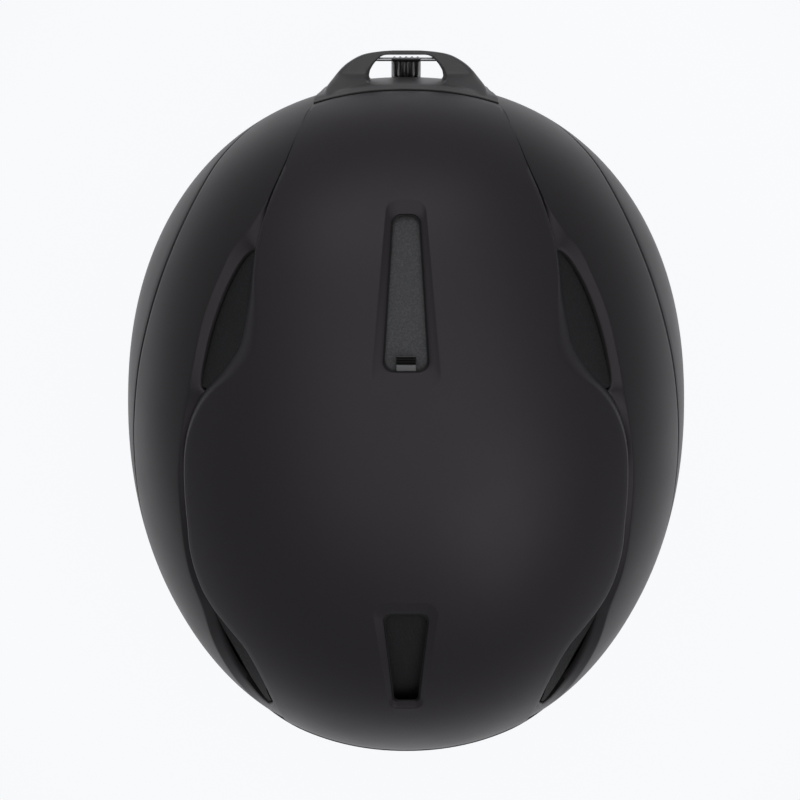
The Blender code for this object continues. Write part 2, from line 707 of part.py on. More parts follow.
def make_band(name, side):
    """Toothed band that runs from the dial to the temple; the right one is upside down."""
    edge = rack_profile()
    shoulder = HOUSING_REACH + 0.020
    edge += [(arc, PITCH_RADIUS + TOOTH_IN) for arc in spread(0.030, shoulder, 4)]
    edge += [(shoulder + 0.011, -BAND_HALF)]
    edge += [(arc, -BAND_HALF) for arc in spread(shoulder + 0.018, 0.137, 10)]
    edges = dict(edge)
    arcs = sorted(edges)
    def place(arc, v, w):
        back = RACK_BACK if arc <= shoulder else BAND_HALF
        height = edges[arc] + (back - edges[arc]) * v
        radius = RING_RADIUS - BAND_THICK / 2 + BAND_THICK * w
        return ring_point(side * arc, radius, side * height)
    return slab(name, arcs, 1, place, "fit_plastic")


def make_pinion():
    """Toothed wheel on a radial shaft between the two racks."""
    tip = PITCH_RADIUS + TOOTH_OUT
    root = PITCH_RADIUS - TOOTH_IN
    width = math.pi / PINION_TEETH / 2 - TOOTH_PLAY / 2 / PITCH_RADIUS
    loop = []
    for tooth in range(PINION_TEETH):
        middle = math.pi / 2 + (tooth + 0.5) * 2 * math.pi / PINION_TEETH
        for turn, radius in ((-width - 0.05, root), (-width + 0.085, tip),
                             (width - 0.085, tip), (width + 0.05, root)):
            loop.append((radius * math.cos(middle + turn), radius * math.sin(middle + turn)))
    def at(radius):
        center = ring_point(0, radius, 0)
        upward = ring_point(0, radius, 1) - center
        return [center + Vector((1, 0, 0)) * x + upward * z for x, z in loop]
    pinion = prism("fit_pinion", at(RING_RADIUS - 0.0012), at(RING_RADIUS + 0.0012),
                   "fit_plastic")
    shaft = cylinder("pinion_shaft", ring_point(0, RING_RADIUS, 0),
                     ring_point(0, RING_RADIUS + 0.0145, 0), 0.0025, None, 12)
    cut(pinion, shaft, "UNION")
    return pinion


def make_dial():
    """Knurled knob behind the housing."""
    center = ring_point(0, RING_RADIUS + 0.0075, 0)
    back = ring_point(0, RING_RADIUS + 0.0175, 0)
    outward = (back - center).normalized()
    upward = ring_point(0, 0, 1) - RING_CENTER
    loop = []
    teeth = 20
    for i in range(teeth * 2):
        turn = math.pi * i / teeth
        radius = 0.0165 if i % 2 else 0.0155
        loop.append(Vector((1, 0, 0)) * radius * math.cos(turn)
                    + upward * radius * math.sin(turn))
    dial = prism("fit_dial", [center + point for point in loop],
                 [back + point * 0.94 for point in loop], "fit_plastic")
    cut(dial, cylinder("dial_bore", center - outward * 0.001, center + outward * 0.0076,
                       0.0025 + GAP))
    return dial


def make_fit_system():
    channel = ring_slab("band_channel", spread(-0.040, 0.040, 10),
                        (RING_RADIUS - 0.0018, RING_RADIUS + 0.01), (-0.0122, 0.0122), None)
    housing = ring_slab("fit_housing", spread(-HOUSING_REACH, HOUSING_REACH, 10),
                        (RING_RADIUS - 0.0035, RING_RADIUS + 0.0022),
                        (-HOUSING_HALF, HOUSING_HALF), "fit_plastic")
    cut(housing, channel)
    cover = ring_slab("fit_housing_cover", spread(-HOUSING_REACH, HOUSING_REACH, 10),
                      (RING_RADIUS + 0.0025, RING_RADIUS + 0.0045),
                      (-HOUSING_HALF, HOUSING_HALF), "fit_plastic")
    cut(cover, cylinder("shaft_hole", ring_point(0, RING_RADIUS, 0),
                        ring_point(0, RING_RADIUS + 0.01, 0), 0.0025 + GAP))
    pad = ring_slab("nape_pad", spread(-0.030, 0.030, 8),
                    (RING_RADIUS - 0.0090, RING_RADIUS - 0.0038), (-0.017, 0.017), "pad_fabric")
    pinion = make_pinion()
    dial = make_dial()
    hang_on(add_empty("dial_axis", ring_point(0, RING_RADIUS, 0)), (pinion, dial))
    bands = [make_band("fit_band_left", 1), make_band("fit_band_right", -1)]
    for band in bands:
        hang_on(add_empty(band.name + "_axis", RING_CENTER), (band,))
    return housing, cover, pad, pinion, dial, bands


def make_band_guides():
    """Blocks on the foam's inner wall that the bands' front ends slide through."""
    slot = (RING_RADIUS - BAND_THICK / 2 - 0.0004, RING_RADIUS + BAND_THICK / 2 + 0.0004)
    for side, word in ((1, "left"), (-1, "right")):
        block = dome_slab("band_guide_" + word, spread(side * 93, side * 101, 2), 1,
                          lambda azimuth: polar_at(azimuth, -0.026),
                          lambda azimuth: polar_at(azimuth, -0.062), (PAD_OUTER, 0.0395),
                          "fit_plastic")
        tunnel = ring_slab("band_tunnel_" + word, spread(side * 0.090, side * 0.135, 8), slot,
                           (-BAND_HALF - 0.0004, BAND_HALF + 0.0004), None)
        cut(block, tunnel)


def make_cradle_arms():
    """Flexible arms that hang the dial housing from the foam."""
    path = ((0.0990, 0.006), (0.0992, -0.010), (0.0980, -0.024), (0.0945, -0.036),
            (0.0911, -0.0462))
    for side, word in ((1, "left"), (-1, "right")):
        def place(index, v, w):
            y, z = path[index]
            return Vector((side * (0.017 + 0.010 * v), y - 0.0014 * w, z))
        slab("cradle_arm_" + word, list(range(len(path))), 1, place, "fit_plastic")


# ---------------------------------------------------------------- straps

def surface_ribbon(name, start, end, half, insets, material, steps=8):
    """Flat strip along the dome between two (azimuth, polar) places."""
    reach = dome_point(start[0], start[1], insets[0]).length
    shrink = math.sin(math.radians((start[1] + end[1]) / 2))
    run = Vector(((end[0] - start[0]) * shrink, end[1] - start[1]))
    across = Vector((-run.y, run.x)).normalized() * math.degrees(half / reach)
    def place(t, v, w):
        offset = across * (2 * v - 1)
        azimuth = start[0] + (end[0] - start[0]) * t + offset.x / shrink
        polar = start[1] + (end[1] - start[1]) * t + offset.y
        return dome_point(azimuth, polar, insets[0] + (insets[1] - insets[0]) * w)
    return slab(name, spread(0, 1, steps), 1, place, material)


def strap_route(side, start, shift):
    """Where a fixed strap starts inside the rim and where it meets the splitter."""
    turn = SPLITTER[0] + shift
    foot = (side * turn, polar_at(turn, SPLITTER[1]) - 3.4)
    return (side * start, rim_polar(start) - 5.5), foot


def make_fixed_straps():
    azimuth, high, low = SPLITTER
    for side, word in ((1, "left"), (-1, "right")):
        for end, start, shift in STRAP_ENDS:
            top, foot = strap_route(side, start, shift)
            surface_ribbon("strap_%s_%s" % (end, word), top, foot, STRAP_HALF, STRAP_INSET,
                           "webbing")
            near = tuple(top[k] + (foot[k] - top[k]) * 0.02 for k in (0, 1))
            far = tuple(top[k] + (foot[k] - top[k]) * 0.11 for k in (0, 1))
            surface_ribbon("strap_anchor_%s_%s" % (end, word), near, far, STRAP_HALF - 0.001,
                           ANCHOR_INSET, "steel", 2)
        dome_slab("strap_splitter_" + word, spread(side * (azimuth - 8), side * (azimuth + 8), 4),
                  2, lambda turn: polar_at(turn, high), lambda turn: polar_at(turn, low),
                  (0.0008, 0.0062), "buckle_plastic")


def path_point(path, t):
    """Smooth curve through the path's points, t counted in points."""
    x = blend_curve([(i, point[0]) for i, point in enumerate(path)], t)
    z = blend_curve([(i, point[1]) for i, point in enumerate(path)], t)
    return Vector((x, z))


def chin_ribbon(name, path, steps, half, thick, material, offset=0.0, first=0.0, last=None):
    """Strip in the upright plane through the chin pivot; half is a number or half(t)."""
    last = len(path) - 1 if last is None else last
    def place(t, v, w):
        point = path_point(path, t)
        along = path_point(path, min(t + 0.05, len(path) - 1)) - path_point(path, max(t - 0.05, 0))
        normal = Vector((-along.y, along.x)).normalized()
        point = point + normal * (offset + thick * (w - 0.5))
        wide = half(t) if callable(half) else half
        return Vector((point.x, CHIN_Y + wide * (2 * v - 1), point.y))
    return slab(name, spread(first, last, steps), 1, place, material)


def neck(t):
    """The webbing is gathered where it loops through the splitter."""
    return 0.005 + (CHIN_HALF - 0.005) * min(max((t - 0.9) / 0.9, 0), 1)


def make_chin_straps():
    chin_ribbon("chin_strap_right", CHIN_PATH, 27, neck, CHIN_THICK, "webbing")
    chin_ribbon("chin_pad", CHIN_PATH, 12, 0.014, 0.0045, "pad_fabric",
                CHIN_THICK / 2 + 0.0026, 4.7, 7.3)
    adjuster = chin_ribbon("strap_adjuster", CHIN_PATH, 3, 0.0125, 0.006, "buckle_plastic",
                           0.0, 2.4, 3.2)
    cut(adjuster, chin_ribbon("adjuster_slot", CHIN_PATH, 8, CHIN_HALF + GAP,
                              CHIN_THICK + 2 * GAP, None, 0.0, 2.0, 3.6))
    keeper = chin_ribbon("strap_keeper", CHIN_PATH, 2, 0.0118, 0.0044, "trim_rubber",
                         0.0, 7.7, 8.05)
    cut(keeper, chin_ribbon("keeper_slot", CHIN_PATH, 4, CHIN_HALF + GAP,
                            CHIN_THICK + 2 * GAP, None, 0.0, 7.4, 8.4))
    short_path = ((0.0880, -0.1000), (0.0873, -0.1065), (0.0845, -0.1130))
    chin_ribbon("chin_strap_left", short_path, 6, lambda t: 0.0046 + 0.0025 * t, CHIN_THICK,
                "webbing")


def make_buckle():
    """Magnetic buckle whose halves meet on an upright plane, so they slide apart sideways."""
    male_plan = [(BUCKLE_X - GAP / 2, -0.1190), (BUCKLE_X - GAP / 2, -0.1385),
                 (0.0640, -0.1425), (0.0594, -0.1412), (0.0606, -0.1372), (0.0632, -0.1250),
                 (0.0660, -0.1200)]
    female_plan = [(BUCKLE_X + GAP / 2, -0.1172), (BUCKLE_X + GAP / 2, -0.1375),
                   (0.0765, -0.1330), (0.0820, -0.1250), (0.0862, -0.1160), (0.0858, -0.1138),
                   (0.0822, -0.1125), (0.0755, -0.1140)]
    wide = 0.0125
    for name, plan in (("buckle_male", male_plan), ("buckle_female", female_plan)):
        prism(name, [(x, CHIN_Y - wide, z) for x, z in plan],
              [(x, CHIN_Y + wide, z) for x, z in plan], "buckle_plastic")


clear_scene()
parts = new_collection(NAME)
cutters = new_collection("cutters")
materials = {name: make_material(name) for name in MATERIALS}
make_center_shell()
make_side_shell()
make_lower_shell()
make_rim_trim()
make_side_scoops()
make_brow_scoop()
make_shutter()
make_foam_liner()
make_pads()
make_ear_pads()
make_goggle_clip()
make_clip_flap()
make_clip_catch()
make_clip_screws()
make_fit_system()
make_band_guides()
make_cradle_arms()
make_fixed_straps()
make_chin_straps()
make_buckle()
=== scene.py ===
"""The looks of the ski helmet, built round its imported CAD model.

Metres, +Z up. The front of the helmet faces -Y and the wearer's left is +X. Every outer piece lies
on one egg-shaped dome, where a place is an azimuth (degrees round from the front), a polar angle
(degrees down from the crown) and an inset (depth below the surface).
"""
import json
import math
from functools import partial

import bmesh
import bpy
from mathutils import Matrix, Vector

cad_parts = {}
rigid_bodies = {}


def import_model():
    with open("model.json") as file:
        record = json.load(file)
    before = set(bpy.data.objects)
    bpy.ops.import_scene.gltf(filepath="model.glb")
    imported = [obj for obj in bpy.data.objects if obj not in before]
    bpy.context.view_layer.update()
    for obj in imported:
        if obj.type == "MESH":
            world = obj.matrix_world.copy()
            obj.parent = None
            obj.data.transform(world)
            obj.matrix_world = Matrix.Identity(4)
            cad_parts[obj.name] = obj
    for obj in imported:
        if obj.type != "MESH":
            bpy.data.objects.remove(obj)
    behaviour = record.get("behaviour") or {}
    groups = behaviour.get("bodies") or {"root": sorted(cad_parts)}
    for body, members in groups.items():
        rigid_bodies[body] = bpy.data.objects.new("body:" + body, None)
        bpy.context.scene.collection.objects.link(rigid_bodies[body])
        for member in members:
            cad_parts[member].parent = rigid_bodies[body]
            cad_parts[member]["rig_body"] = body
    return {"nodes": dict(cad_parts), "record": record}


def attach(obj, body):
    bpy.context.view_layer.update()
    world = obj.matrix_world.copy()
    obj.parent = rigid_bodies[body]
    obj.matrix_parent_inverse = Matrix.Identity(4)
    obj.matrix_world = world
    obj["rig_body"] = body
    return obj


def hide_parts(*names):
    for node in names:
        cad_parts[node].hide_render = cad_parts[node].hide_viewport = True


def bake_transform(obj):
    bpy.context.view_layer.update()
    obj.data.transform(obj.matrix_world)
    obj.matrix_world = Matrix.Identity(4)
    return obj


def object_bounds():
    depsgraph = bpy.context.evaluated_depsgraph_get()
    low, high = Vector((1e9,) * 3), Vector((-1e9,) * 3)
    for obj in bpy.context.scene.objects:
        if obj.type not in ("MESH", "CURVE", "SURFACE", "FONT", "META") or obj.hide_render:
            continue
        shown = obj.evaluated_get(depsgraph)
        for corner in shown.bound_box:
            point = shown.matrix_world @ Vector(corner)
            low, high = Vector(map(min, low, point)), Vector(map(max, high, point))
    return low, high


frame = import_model()
nodes = frame["nodes"]
slots = {part["node"]: part["material_slot"] for part in frame["record"]["subparts"]}
cad_box = [list(corner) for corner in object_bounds()]

SIDES = ((1, "left"), (-1, "right"))

# ---------------------------------------------------------------- the dome

HALF_WIDTH = 0.114
FRONT_REACH = 0.142
REAR_REACH = 0.130
CROWN_HEIGHT = 0.098
LOWER_DEPTH = 0.135
FRONT_POWER = 2.1
REAR_POWER = 2.2
UPPER_POWER = 2.2
LOWER_POWER = 2.4

RAISE = -0.0015
FOAM_OUTER = 0.0039
FOAM_INNER = 0.026
PAD_OUTER = 0.0268

# Lines on the dome, as (azimuth, height in mm) or (azimuth, polar angle).
RIM_HEIGHT = ((0, -10), (20, -11), (40, -16), (58, -24), (75, -34), (100, -38), (118, -46),
              (135, -52), (158, -52), (180, -50))
SEAM_HEIGHT = ((50, -20), (60, 1), (72, 15), (84, 23), (96, 30), (108, 36), (120, 38), (129, 36),
               (136, 31), (142, 23), (149, 13), (157, -3), (168, -12), (180, -14))
CENTER_EDGE = ((19, 94.5), (21.5, 84), (25, 76), (28.5, 71.5), (33, 68.4), (38, 67.6), (43, 67.4),
               (48, 66.6), (55, 64), (61, 61), (70, 58), (80, 55.2), (88, 52.2), (93, 49.3),
               (98, 45.6), (103, 43.2), (108, 42), (115, 42.6), (123.5, 44.6), (131, 46.8),
               (138, 50), (146, 55.2), (153, 61), (158.5, 68.5), (162.5, 76.3))
EDGE_SHIFT = ((120, 0), (124, 0.1), (134.8, 1.25), (138, 1.2), (146, 0.8), (153, 0.5),
              (159, 0.3), (162.5, 0))
ROLL_WIDTH = ((0, 0.6), (19, 0.6), (25, 0.7), (43, 1.2), (70, 1.5), (80, 2.0), (92, 4.0),
              (98, 4.9), (108, 4.8), (120, 3.6), (128, 2.2), (134.8, 1.45), (146, 0.95),
              (158, 0.7), (162.5, 0.5), (180, 0.5))
ROLL_DROP = ((0, 0.5), (19, 0.5), (25, 1.2), (43, 1.9), (55, 1.8), (80, 2.2), (92, 3.2),
             (108, 3.4), (123, 3.2), (131, 2.4), (146, 1.9), (160, 1.7), (162.5, 0.6), (180, 0.6))
ROLL_POWER = ((0, 1.5), (43, 1.6), (80, 1.6), (100, 1.45), (118, 1.45), (130, 1.25), (180, 1.2))
LIP = ((19, 97), (22, 94.4), (24.6, 90), (32, 82), (38, 76.6), (44, 71), (51, 68), (62, 62.6),
       (72, 59), (81, 56), (90, 53.8), (101, 52.4), (113, 52.5), (124, 53), (131, 53.9),
       (138, 54), (145, 55.9), (153, 62), (158.5, 69.3), (162.5, 77.2), (180, 77.2))
LIP_DEPTH = ((19, 0.7), (24, 1.0), (30, 2.2), (90, 2.4), (138, 2.4), (146, 1.6), (153, 1.1),
             (180, 0.8))
CLIP_EDGE = 162.5
CLIP_TOP = 76.3
SIDE_FRONT = 19.6
SEAM_FRONT = 50
SEAM_GAP = 0.2

REAR_VENT_INNER = ((134.8, 50.0), (123.5, 45.2), (108, 42.6), (98.5, 46), (92.8, 50.2))
REAR_VENT_OUTER = ((134.8, 50.6), (126.5, 52), (115, 51.8), (104, 51.6), (93.6, 51.8))
FRONT_VENT_INNER = ((43.4, 68.2), (37.4, 68.3), (31.5, 69.8), (27.2, 75), (23.8, 82.5))
FRONT_VENT_OUTER = ((43.4, 68.8), (40.7, 72), (35.4, 76.6), (29.5, 81.4), (24.2, 84))
REAR_GAP_EDGE = ((92.6, 50.0), (93.8, 51.2), (104, 51.1), (115, 51.2), (126.5, 51.7),
                 (131, 51.8), (133.8, 51.3), (134.9, 50.6), (135.2, 49.9))
FRONT_GAP_EDGE = ((23.5, 79.9), (24.3, 84.2), (29.5, 81.2), (35.4, 76.0), (40.7, 71.2),
                  (43.4, 68.2))

# Centre-line vents: y and half width at the front end, then at the rear end, for the hole and
# for the line where its chamfer begins; and the radius of the corners there.
MIDDLE_HOLE = (0.0116, 0.0091, 0.0755, 0.0058)
MIDDLE_RING = (0.0035, 0.0146, 0.0822, 0.0084)
BROW_HOLE = (-0.1229, 0.0054, -0.0872, 0.0090)
BROW_RING = (-0.1260, 0.0077, -0.0830, 0.0133)
BROW_FLOOR = (-0.1242, 0.0066, -0.0860, 0.0102)

SHUTTER_Y = 0.01326
SHUTTER_Z = -0.04006
SHUTTER_RADIUS = 0.1348

CLIP_PIN = Vector((0, 0.1396, 0.0105))
BAR_BOTTOM = 0.0129
FLAP_FOOT = Vector((0, 0.1334, -0.0425))
FLAP_HALF = 0.006
PIN_HALF = 0.0138
# Width of the dark strip just inside each centre vent's hole, a painted shadow line.
SHADOW_STRIP_WIDTH = 0.00045

RING_CENTER = Vector((0.0, 0.012, -0.036))
RING_TILT = math.radians(18)
RING_RADIUS = 0.078

SPLITTER = (84.7, -0.082, -0.096)
STRAP_ENDS = (("front", 62, -5.5), ("rear", 126, 5.5))
STRAP_HALF = 0.0075
STRAP_RECESSES = (63, 125)
LOOP_Z = -0.0928
EAR_AZIMUTH = 92
EAR_HEIGHT = -0.066
CHIN_Y = -0.008
CHIN_PATH = ((-0.0880, -0.1000), (-0.0868, -0.1080), (-0.0820, -0.1200), (-0.0700, -0.1340),
             (-0.0520, -0.1445), (-0.0280, -0.1500), (0.0, -0.1515), (0.0280, -0.1500),
             (0.0500, -0.1450), (0.0590, -0.1400))


def curve(points, x):
    """Smooth curve through (x, value) points, level with its neighbours' slope at each."""
    last = len(points) - 1
    if x <= points[0][0]:
        return points[0][1]
    if x >= points[last][0]:
        return points[last][1]
    i = max(k for k in range(last) if points[k][0] <= x)
    x0, y0 = points[i]
    x1, y1 = points[i + 1]
    before = points[max(i - 1, 0)]
    after = points[min(i + 2, last)]
    slope0 = (y1 - before[1]) / (x1 - before[0])
    slope1 = (after[1] - y0) / (after[0] - x0)
    span = x1 - x0
    t = (x - x0) / span
    return ((2 * t ** 3 - 3 * t ** 2 + 1) * y0 + (t ** 3 - 2 * t ** 2 + t) * span * slope0
            + (3 * t ** 2 - 2 * t ** 3) * y1 + (t ** 3 - t ** 2) * span * slope1)


def smooth(low, high, x):
    """0 below low, 1 above high, and a soft step between them."""
    t = min(max((x - low) / (high - low), 0), 1)
    return t * t * (3 - 2 * t)


def spread(first, last, count):
    return [first + (last - first) * i / count for i in range(count + 1)]


def turns(count):
    """Even angles once round."""
    return spread(0, 2 * math.pi, count)[:-1]


def line_at(points, t):
    """Place at t on a smooth line through points that are one unit of t apart."""
    return [curve(list(enumerate(axis)), t) for axis in zip(*points)]


def fold(azimuth):
    """The same place on the wearer's left half, 0 at the front to 180 at the rear."""
    return abs((azimuth + 180) % 360 - 180)


def plan_sum(x, y, inset):
    reach, power = (FRONT_REACH, FRONT_POWER) if y < 0 else (REAR_REACH, REAR_POWER)
    side = (abs(x) / (HALF_WIDTH - inset)) ** power
    end = (abs(y) / (reach - inset)) ** power
    return (side + end) ** (1 / power)


def dome_point(azimuth, polar, inset):
    turn = math.radians(azimuth)
    drop = math.radians(polar)
    out = math.sin(drop)
    ray = Vector((math.sin(turn) * out, -math.cos(turn) * out, math.cos(drop)))
    height, power = (CROWN_HEIGHT, UPPER_POWER) if ray.z > 0 else (LOWER_DEPTH, LOWER_POWER)
    plan = plan_sum(ray.x, ray.y, inset) ** power
    up = (abs(ray.z) / (height - inset)) ** power
    return ray / (plan + up) ** (1 / power)


def dome_over(x, y, inset):
    """The dome's point straight above (x, y)."""
    plan = plan_sum(x, y, inset)
    return Vector((x, y, (CROWN_HEIGHT - inset) * (1 - plan ** UPPER_POWER) ** (1 / UPPER_POWER)))


def sunk(point, depth):
    """The point moved towards the dome's centre."""
    return point * (1 - depth / point.length)


def polar_at(azimuth, height, inset=0.0):
    """Polar angle at which the dome passes a height."""
    turn = math.radians(azimuth)
    depth, power = (CROWN_HEIGHT, UPPER_POWER) if height > 0 else (LOWER_DEPTH, LOWER_POWER)
    level = (1 - (abs(height) / (depth - inset)) ** power) ** (1 / power)
    reach = level / plan_sum(math.sin(turn), -math.cos(turn), inset)
    return math.degrees(math.atan2(reach, height))


def rim_polar(azimuth):
    return polar_at(azimuth, curve(RIM_HEIGHT, fold(azimuth)) / 1000)


def seam_polar(azimuth):
    return polar_at(azimuth, curve(SEAM_HEIGHT, fold(azimuth)) / 1000)


def center_polar(azimuth):
    """Outer edge of the raised centre shell."""
    turn = fold(azimuth)
    if turn <= CENTER_EDGE[0][0]:
        return rim_polar(azimuth)
    if turn >= CLIP_EDGE:
        return CLIP_TOP
    return curve(CENTER_EDGE, turn) + curve(EDGE_SHIFT, turn)


def gap_polar(azimuth):
    """Upper edge of the side shell: the centre shell's edge, or the outer edge of a vent."""
    turn = fold(azimuth)
    edge = center_polar(azimuth) + SEAM_GAP
    for line in (REAR_GAP_EDGE, FRONT_GAP_EDGE):
        if line[0][0] <= turn <= line[-1][0]:
            edge = max(edge, curve(line, turn))
    return edge


def walk(edge, first, last, step):
    """Azimuths at even distances along a line on the dome."""
    found = [first]
    spot = dome_point(first, edge(first), 0)
    covered = 0
    count = round(abs(last - first) / 0.05)
    for azimuth in spread(first, last, count)[1:]:
        point = dome_point(azimuth, edge(azimuth), 0)
        covered += (point - spot).length
        spot = point
        if covered >= step:
            found.append(azimuth)
            covered = 0
    if last - found[-1] > 0.02:
        found.append(last)
    return found


# ---------------------------------------------------------------- materials

class Paint:
    """A procedural material in the making."""

    def __init__(self, name, color, roughness, metallic=0.0, **inputs):
        self.material = bpy.data.materials.new(name)
        self.material.use_nodes = True
        self.tree = self.material.node_tree
        self.shader = self.tree.nodes["Principled BSDF"]
        inputs.update(Base_Color=(*color, 1), Roughness=roughness, Metallic=metallic)
        for key, value in inputs.items():
            self.feed(self.shader, key, value)
        where = self.add("TexCoord").outputs
        self.place = where["Object"]
        self.flat = where["UV"]
        self.color = color
        self.tint = None
        self.height = None

    def feed(self, node, key, value):
        """Link a socket's value, or set a plain one."""
        socket = node.inputs[key.replace("_", " ") if isinstance(key, str) else key]
        if isinstance(value, bpy.types.NodeSocket):
            self.tree.links.new(value, socket)
        else:
            socket.default_value = value

    def add(self, kind, settings=(), **inputs):
        node = self.tree.nodes.new("ShaderNode" + kind)
        for key, value in dict(settings).items():
            setattr(node, key, value)
        for key, value in inputs.items():
            self.feed(node, key, value)
        return node

    def math(self, operation, *values):
        node = self.add("Math", {"operation": operation})
        for i, value in enumerate(values):
            self.feed(node, i, value)
        return node.outputs[0]

    def noise(self, per_metre, detail=2.0, rough=0.5, where=None):
        return self.add("TexNoise", Vector=where or self.place, Scale=per_metre, Detail=detail,
                        Roughness=rough).outputs["Fac"]

    def cells(self, per_metre, feature="F1"):
        return self.add("TexVoronoi", {"feature": feature}, Vector=self.place,
                        Scale=per_metre).outputs["Distance"]

    def pattern(self, per_metre, *detail):
        """Noise where a detail is given, and round cells where it isn't."""
        return self.noise(per_metre, *detail) if detail else self.cells(per_metre)

    def ramp(self, value, low, high, out_low=0.0, out_high=1.0):
        return self.add("MapRange", Value=value, From_Min=low, From_Max=high, To_Min=out_low,
                        To_Max=out_high).outputs[0]

    def shade(self, amount, low, high):
        """Multiply the colour by a value between low and high, as amount goes from 0 to 1."""
        value = self.ramp(amount, 0, 1, low, high)
        self.tint = value if self.tint is None else self.math("MULTIPLY", self.tint, value)

    def rough(self, amount, low, high):
        """Let the roughness run from low to high."""
        self.feed(self.shader, "Roughness", self.ramp(amount, 0, 1, low, high))

    def bump(self, value, depth):
        """Raise the surface by depth metres where value is 1."""
        tall = self.math("MULTIPLY", value, depth)
        self.height = tall if self.height is None else self.math("ADD", self.height, tall)

    def lighter_edges(self, amount):
        """Lighter convex edges, in soft patches."""
        edge = self.ramp(self.add("NewGeometry").outputs["Pointiness"], 0.52, 0.62)
        patch = self.ramp(self.noise(120, 4), 0.4, 0.65)
        self.shade(self.math("MULTIPLY", edge, patch), 1.0, 1.0 + amount)

    def done(self):
        if self.tint is not None:
            mixed = self.add("VectorMath", {"operation": "SCALE"}, Scale=self.tint)
            mixed.inputs[0].default_value = self.color
            self.feed(self.shader, "Base Color", mixed.outputs[0])
        if self.height is not None:
            bump = self.add("Bump", Height=self.height, Strength=1.0, Distance=1.0)
            self.feed(self.shader, "Normal", bump.outputs[0])
        self.material.diffuse_color = (*self.color, 1)
        return self.material


def textured(name, color, roughness, bumps, shades, rough=None, lighter_edges=0, **inputs):
    """Material from noise and cells.

    A bump is (depth, pattern), a shade and the roughness are (low, high, pattern), and a pattern
    is its cells per metre and, for noise, its detail.
    """
    paint = Paint(name, color, roughness, **inputs)
    for depth, *pattern in bumps:
        paint.bump(paint.pattern(*pattern), depth)
    for low, high, *pattern in shades:
        paint.shade(paint.pattern(*pattern), low, high)
    if rough:
        low, high, *pattern = rough
        paint.rough(paint.pattern(*pattern), low, high)
    if lighter_edges:
        paint.lighter_edges(lighter_edges)
    return paint.done()


def matte_shell(name, color):
    """Soft-touch plastic: a very fine spray grain, and large faint patches in its sheen."""
    return textured(name, color, 0.46, ((0.000022, 2600, 2), (0.000012, 260, 3)),
                    ((0.94, 1.06, 22, 3), (0.9, 1.1, 1900, 2)), (0.41, 0.51, 38, 4), 0.35,
                    Specular_IOR_Level=0.43, Specular_Tint=(1.0, 0.90, 1.0, 1))


def bead_foam():
    """Expanded foam: beads about 3 mm across, pressed flat against the mould."""
    paint = Paint("foam", (0.017, 0.017, 0.018), 0.62, Specular_IOR_Level=0.35)
    crease = paint.ramp(paint.cells(330, "DISTANCE_TO_EDGE"), 0.0, 0.14)
    paint.bump(crease, 0.00016)
    paint.bump(paint.noise(1400, 2), 0.00003)
    # Painted shade: darker creases between the beads, and lighter bead middles as painted light.
    paint.shade(crease, 0.55, 1.0)
    paint.shade(paint.cells(330), 1.2, 0.85)
    paint.rough(paint.noise(300, 2), 0.5, 0.75)
    return paint.done()


def vent_floor(name, color):
    """Fine grained grey plastic mesh behind the vents."""
    return textured(name, color, 0.85, ((0.00012, 1250),),
                    ((0.72, 1.25, 1250), (0.85, 1.15, 2400, 2)), Specular_IOR_Level=0.25)


def satin_plastic(name, color, roughness):
    return textured(name, color, roughness, ((0.000015, 2200, 2),), ((0.9, 1.1, 60, 3),),
                    (roughness - 0.06, roughness + 0.08, 90, 4), 0.4)


def webbing():
    """Woven strap: diagonal ribs that turn at the middle, and a flat selvedge at each edge."""
    paint = Paint("webbing", (0.012, 0.012, 0.0125), 0.78, Specular_IOR_Level=0.35,
                  Sheen_Weight=0.15)
    parts = paint.add("SeparateXYZ", Vector=paint.flat).outputs
    rib = paint.math("SINE", paint.math("MULTIPLY", paint.math(
        "ADD", parts[0], paint.math("PINGPONG", parts[1], 0.0038)), 5200))
    yarn = paint.math("SINE", paint.math("MULTIPLY", parts[1], 9000))
    weave = paint.ramp(paint.math("ADD", rib, paint.math("MULTIPLY", yarn, 0.5)), -1.5, 1.5)
    paint.bump(weave, 0.00016)
    paint.shade(weave, 0.55, 1.4)
    paint.shade(paint.noise(400, 3), 0.8, 1.2)
    return paint.done()


def brushed_steel():
    paint = Paint("steel", (0.50, 0.50, 0.52), 0.3, 1.0)
    stretched = paint.add("Mapping", Vector=paint.place, Scale=(0.15, 1, 1)).outputs[0]
    lines = paint.noise(900, 2, where=stretched)
    paint.bump(lines, 0.00002)
    paint.rough(lines, 0.22, 0.42)
    paint.shade(paint.noise(300, 3), 0.85, 1.1)
    return paint.done()


looks = {
    "shell_black": matte_shell("shell_black", (0.0138, 0.0126, 0.0146)),
    "shell_side_black": matte_shell("shell_side_black", (0.0112, 0.0106, 0.0108)),
    "clip_grey": textured("clip_grey", (0.056, 0.054, 0.057), 0.46,
                          ((0.00003, 2100), (0.00003, 900, 3)), ((0.88, 1.12, 1500, 2),),
                          (0.38, 0.52, 60, 3), 0.5),
    "trim_rubber": textured("trim_rubber", (0.010, 0.010, 0.0105), 0.62, ((0.00003, 1700, 3),),
                            ((0.8, 1.25, 70, 4),), (0.52, 0.72, 150, 3),
                            Specular_IOR_Level=0.35),
    "foam": bead_foam(),
    "pad_fabric": textured("pad_fabric", (0.020, 0.020, 0.022), 0.95,
                           ((0.00022, 950), (0.00018, 2200, 4, 0.7)),
                           ((0.75, 1.3, 950), (0.7, 1.35, 2200, 4, 0.7), (0.85, 1.15, 35, 3)),
                           Specular_IOR_Level=0.2, Sheen_Weight=0.35, Sheen_Roughness=0.45),
    "vent_mesh": vent_floor("vent_mesh", (0.070, 0.070, 0.074)),
    "webbing": webbing(),
    "buckle_plastic": satin_plastic("buckle_plastic", (0.014, 0.014, 0.015), 0.38),
    "fit_plastic": satin_plastic("fit_plastic", (0.026, 0.026, 0.028), 0.45),
    "steel": brushed_steel(),
}
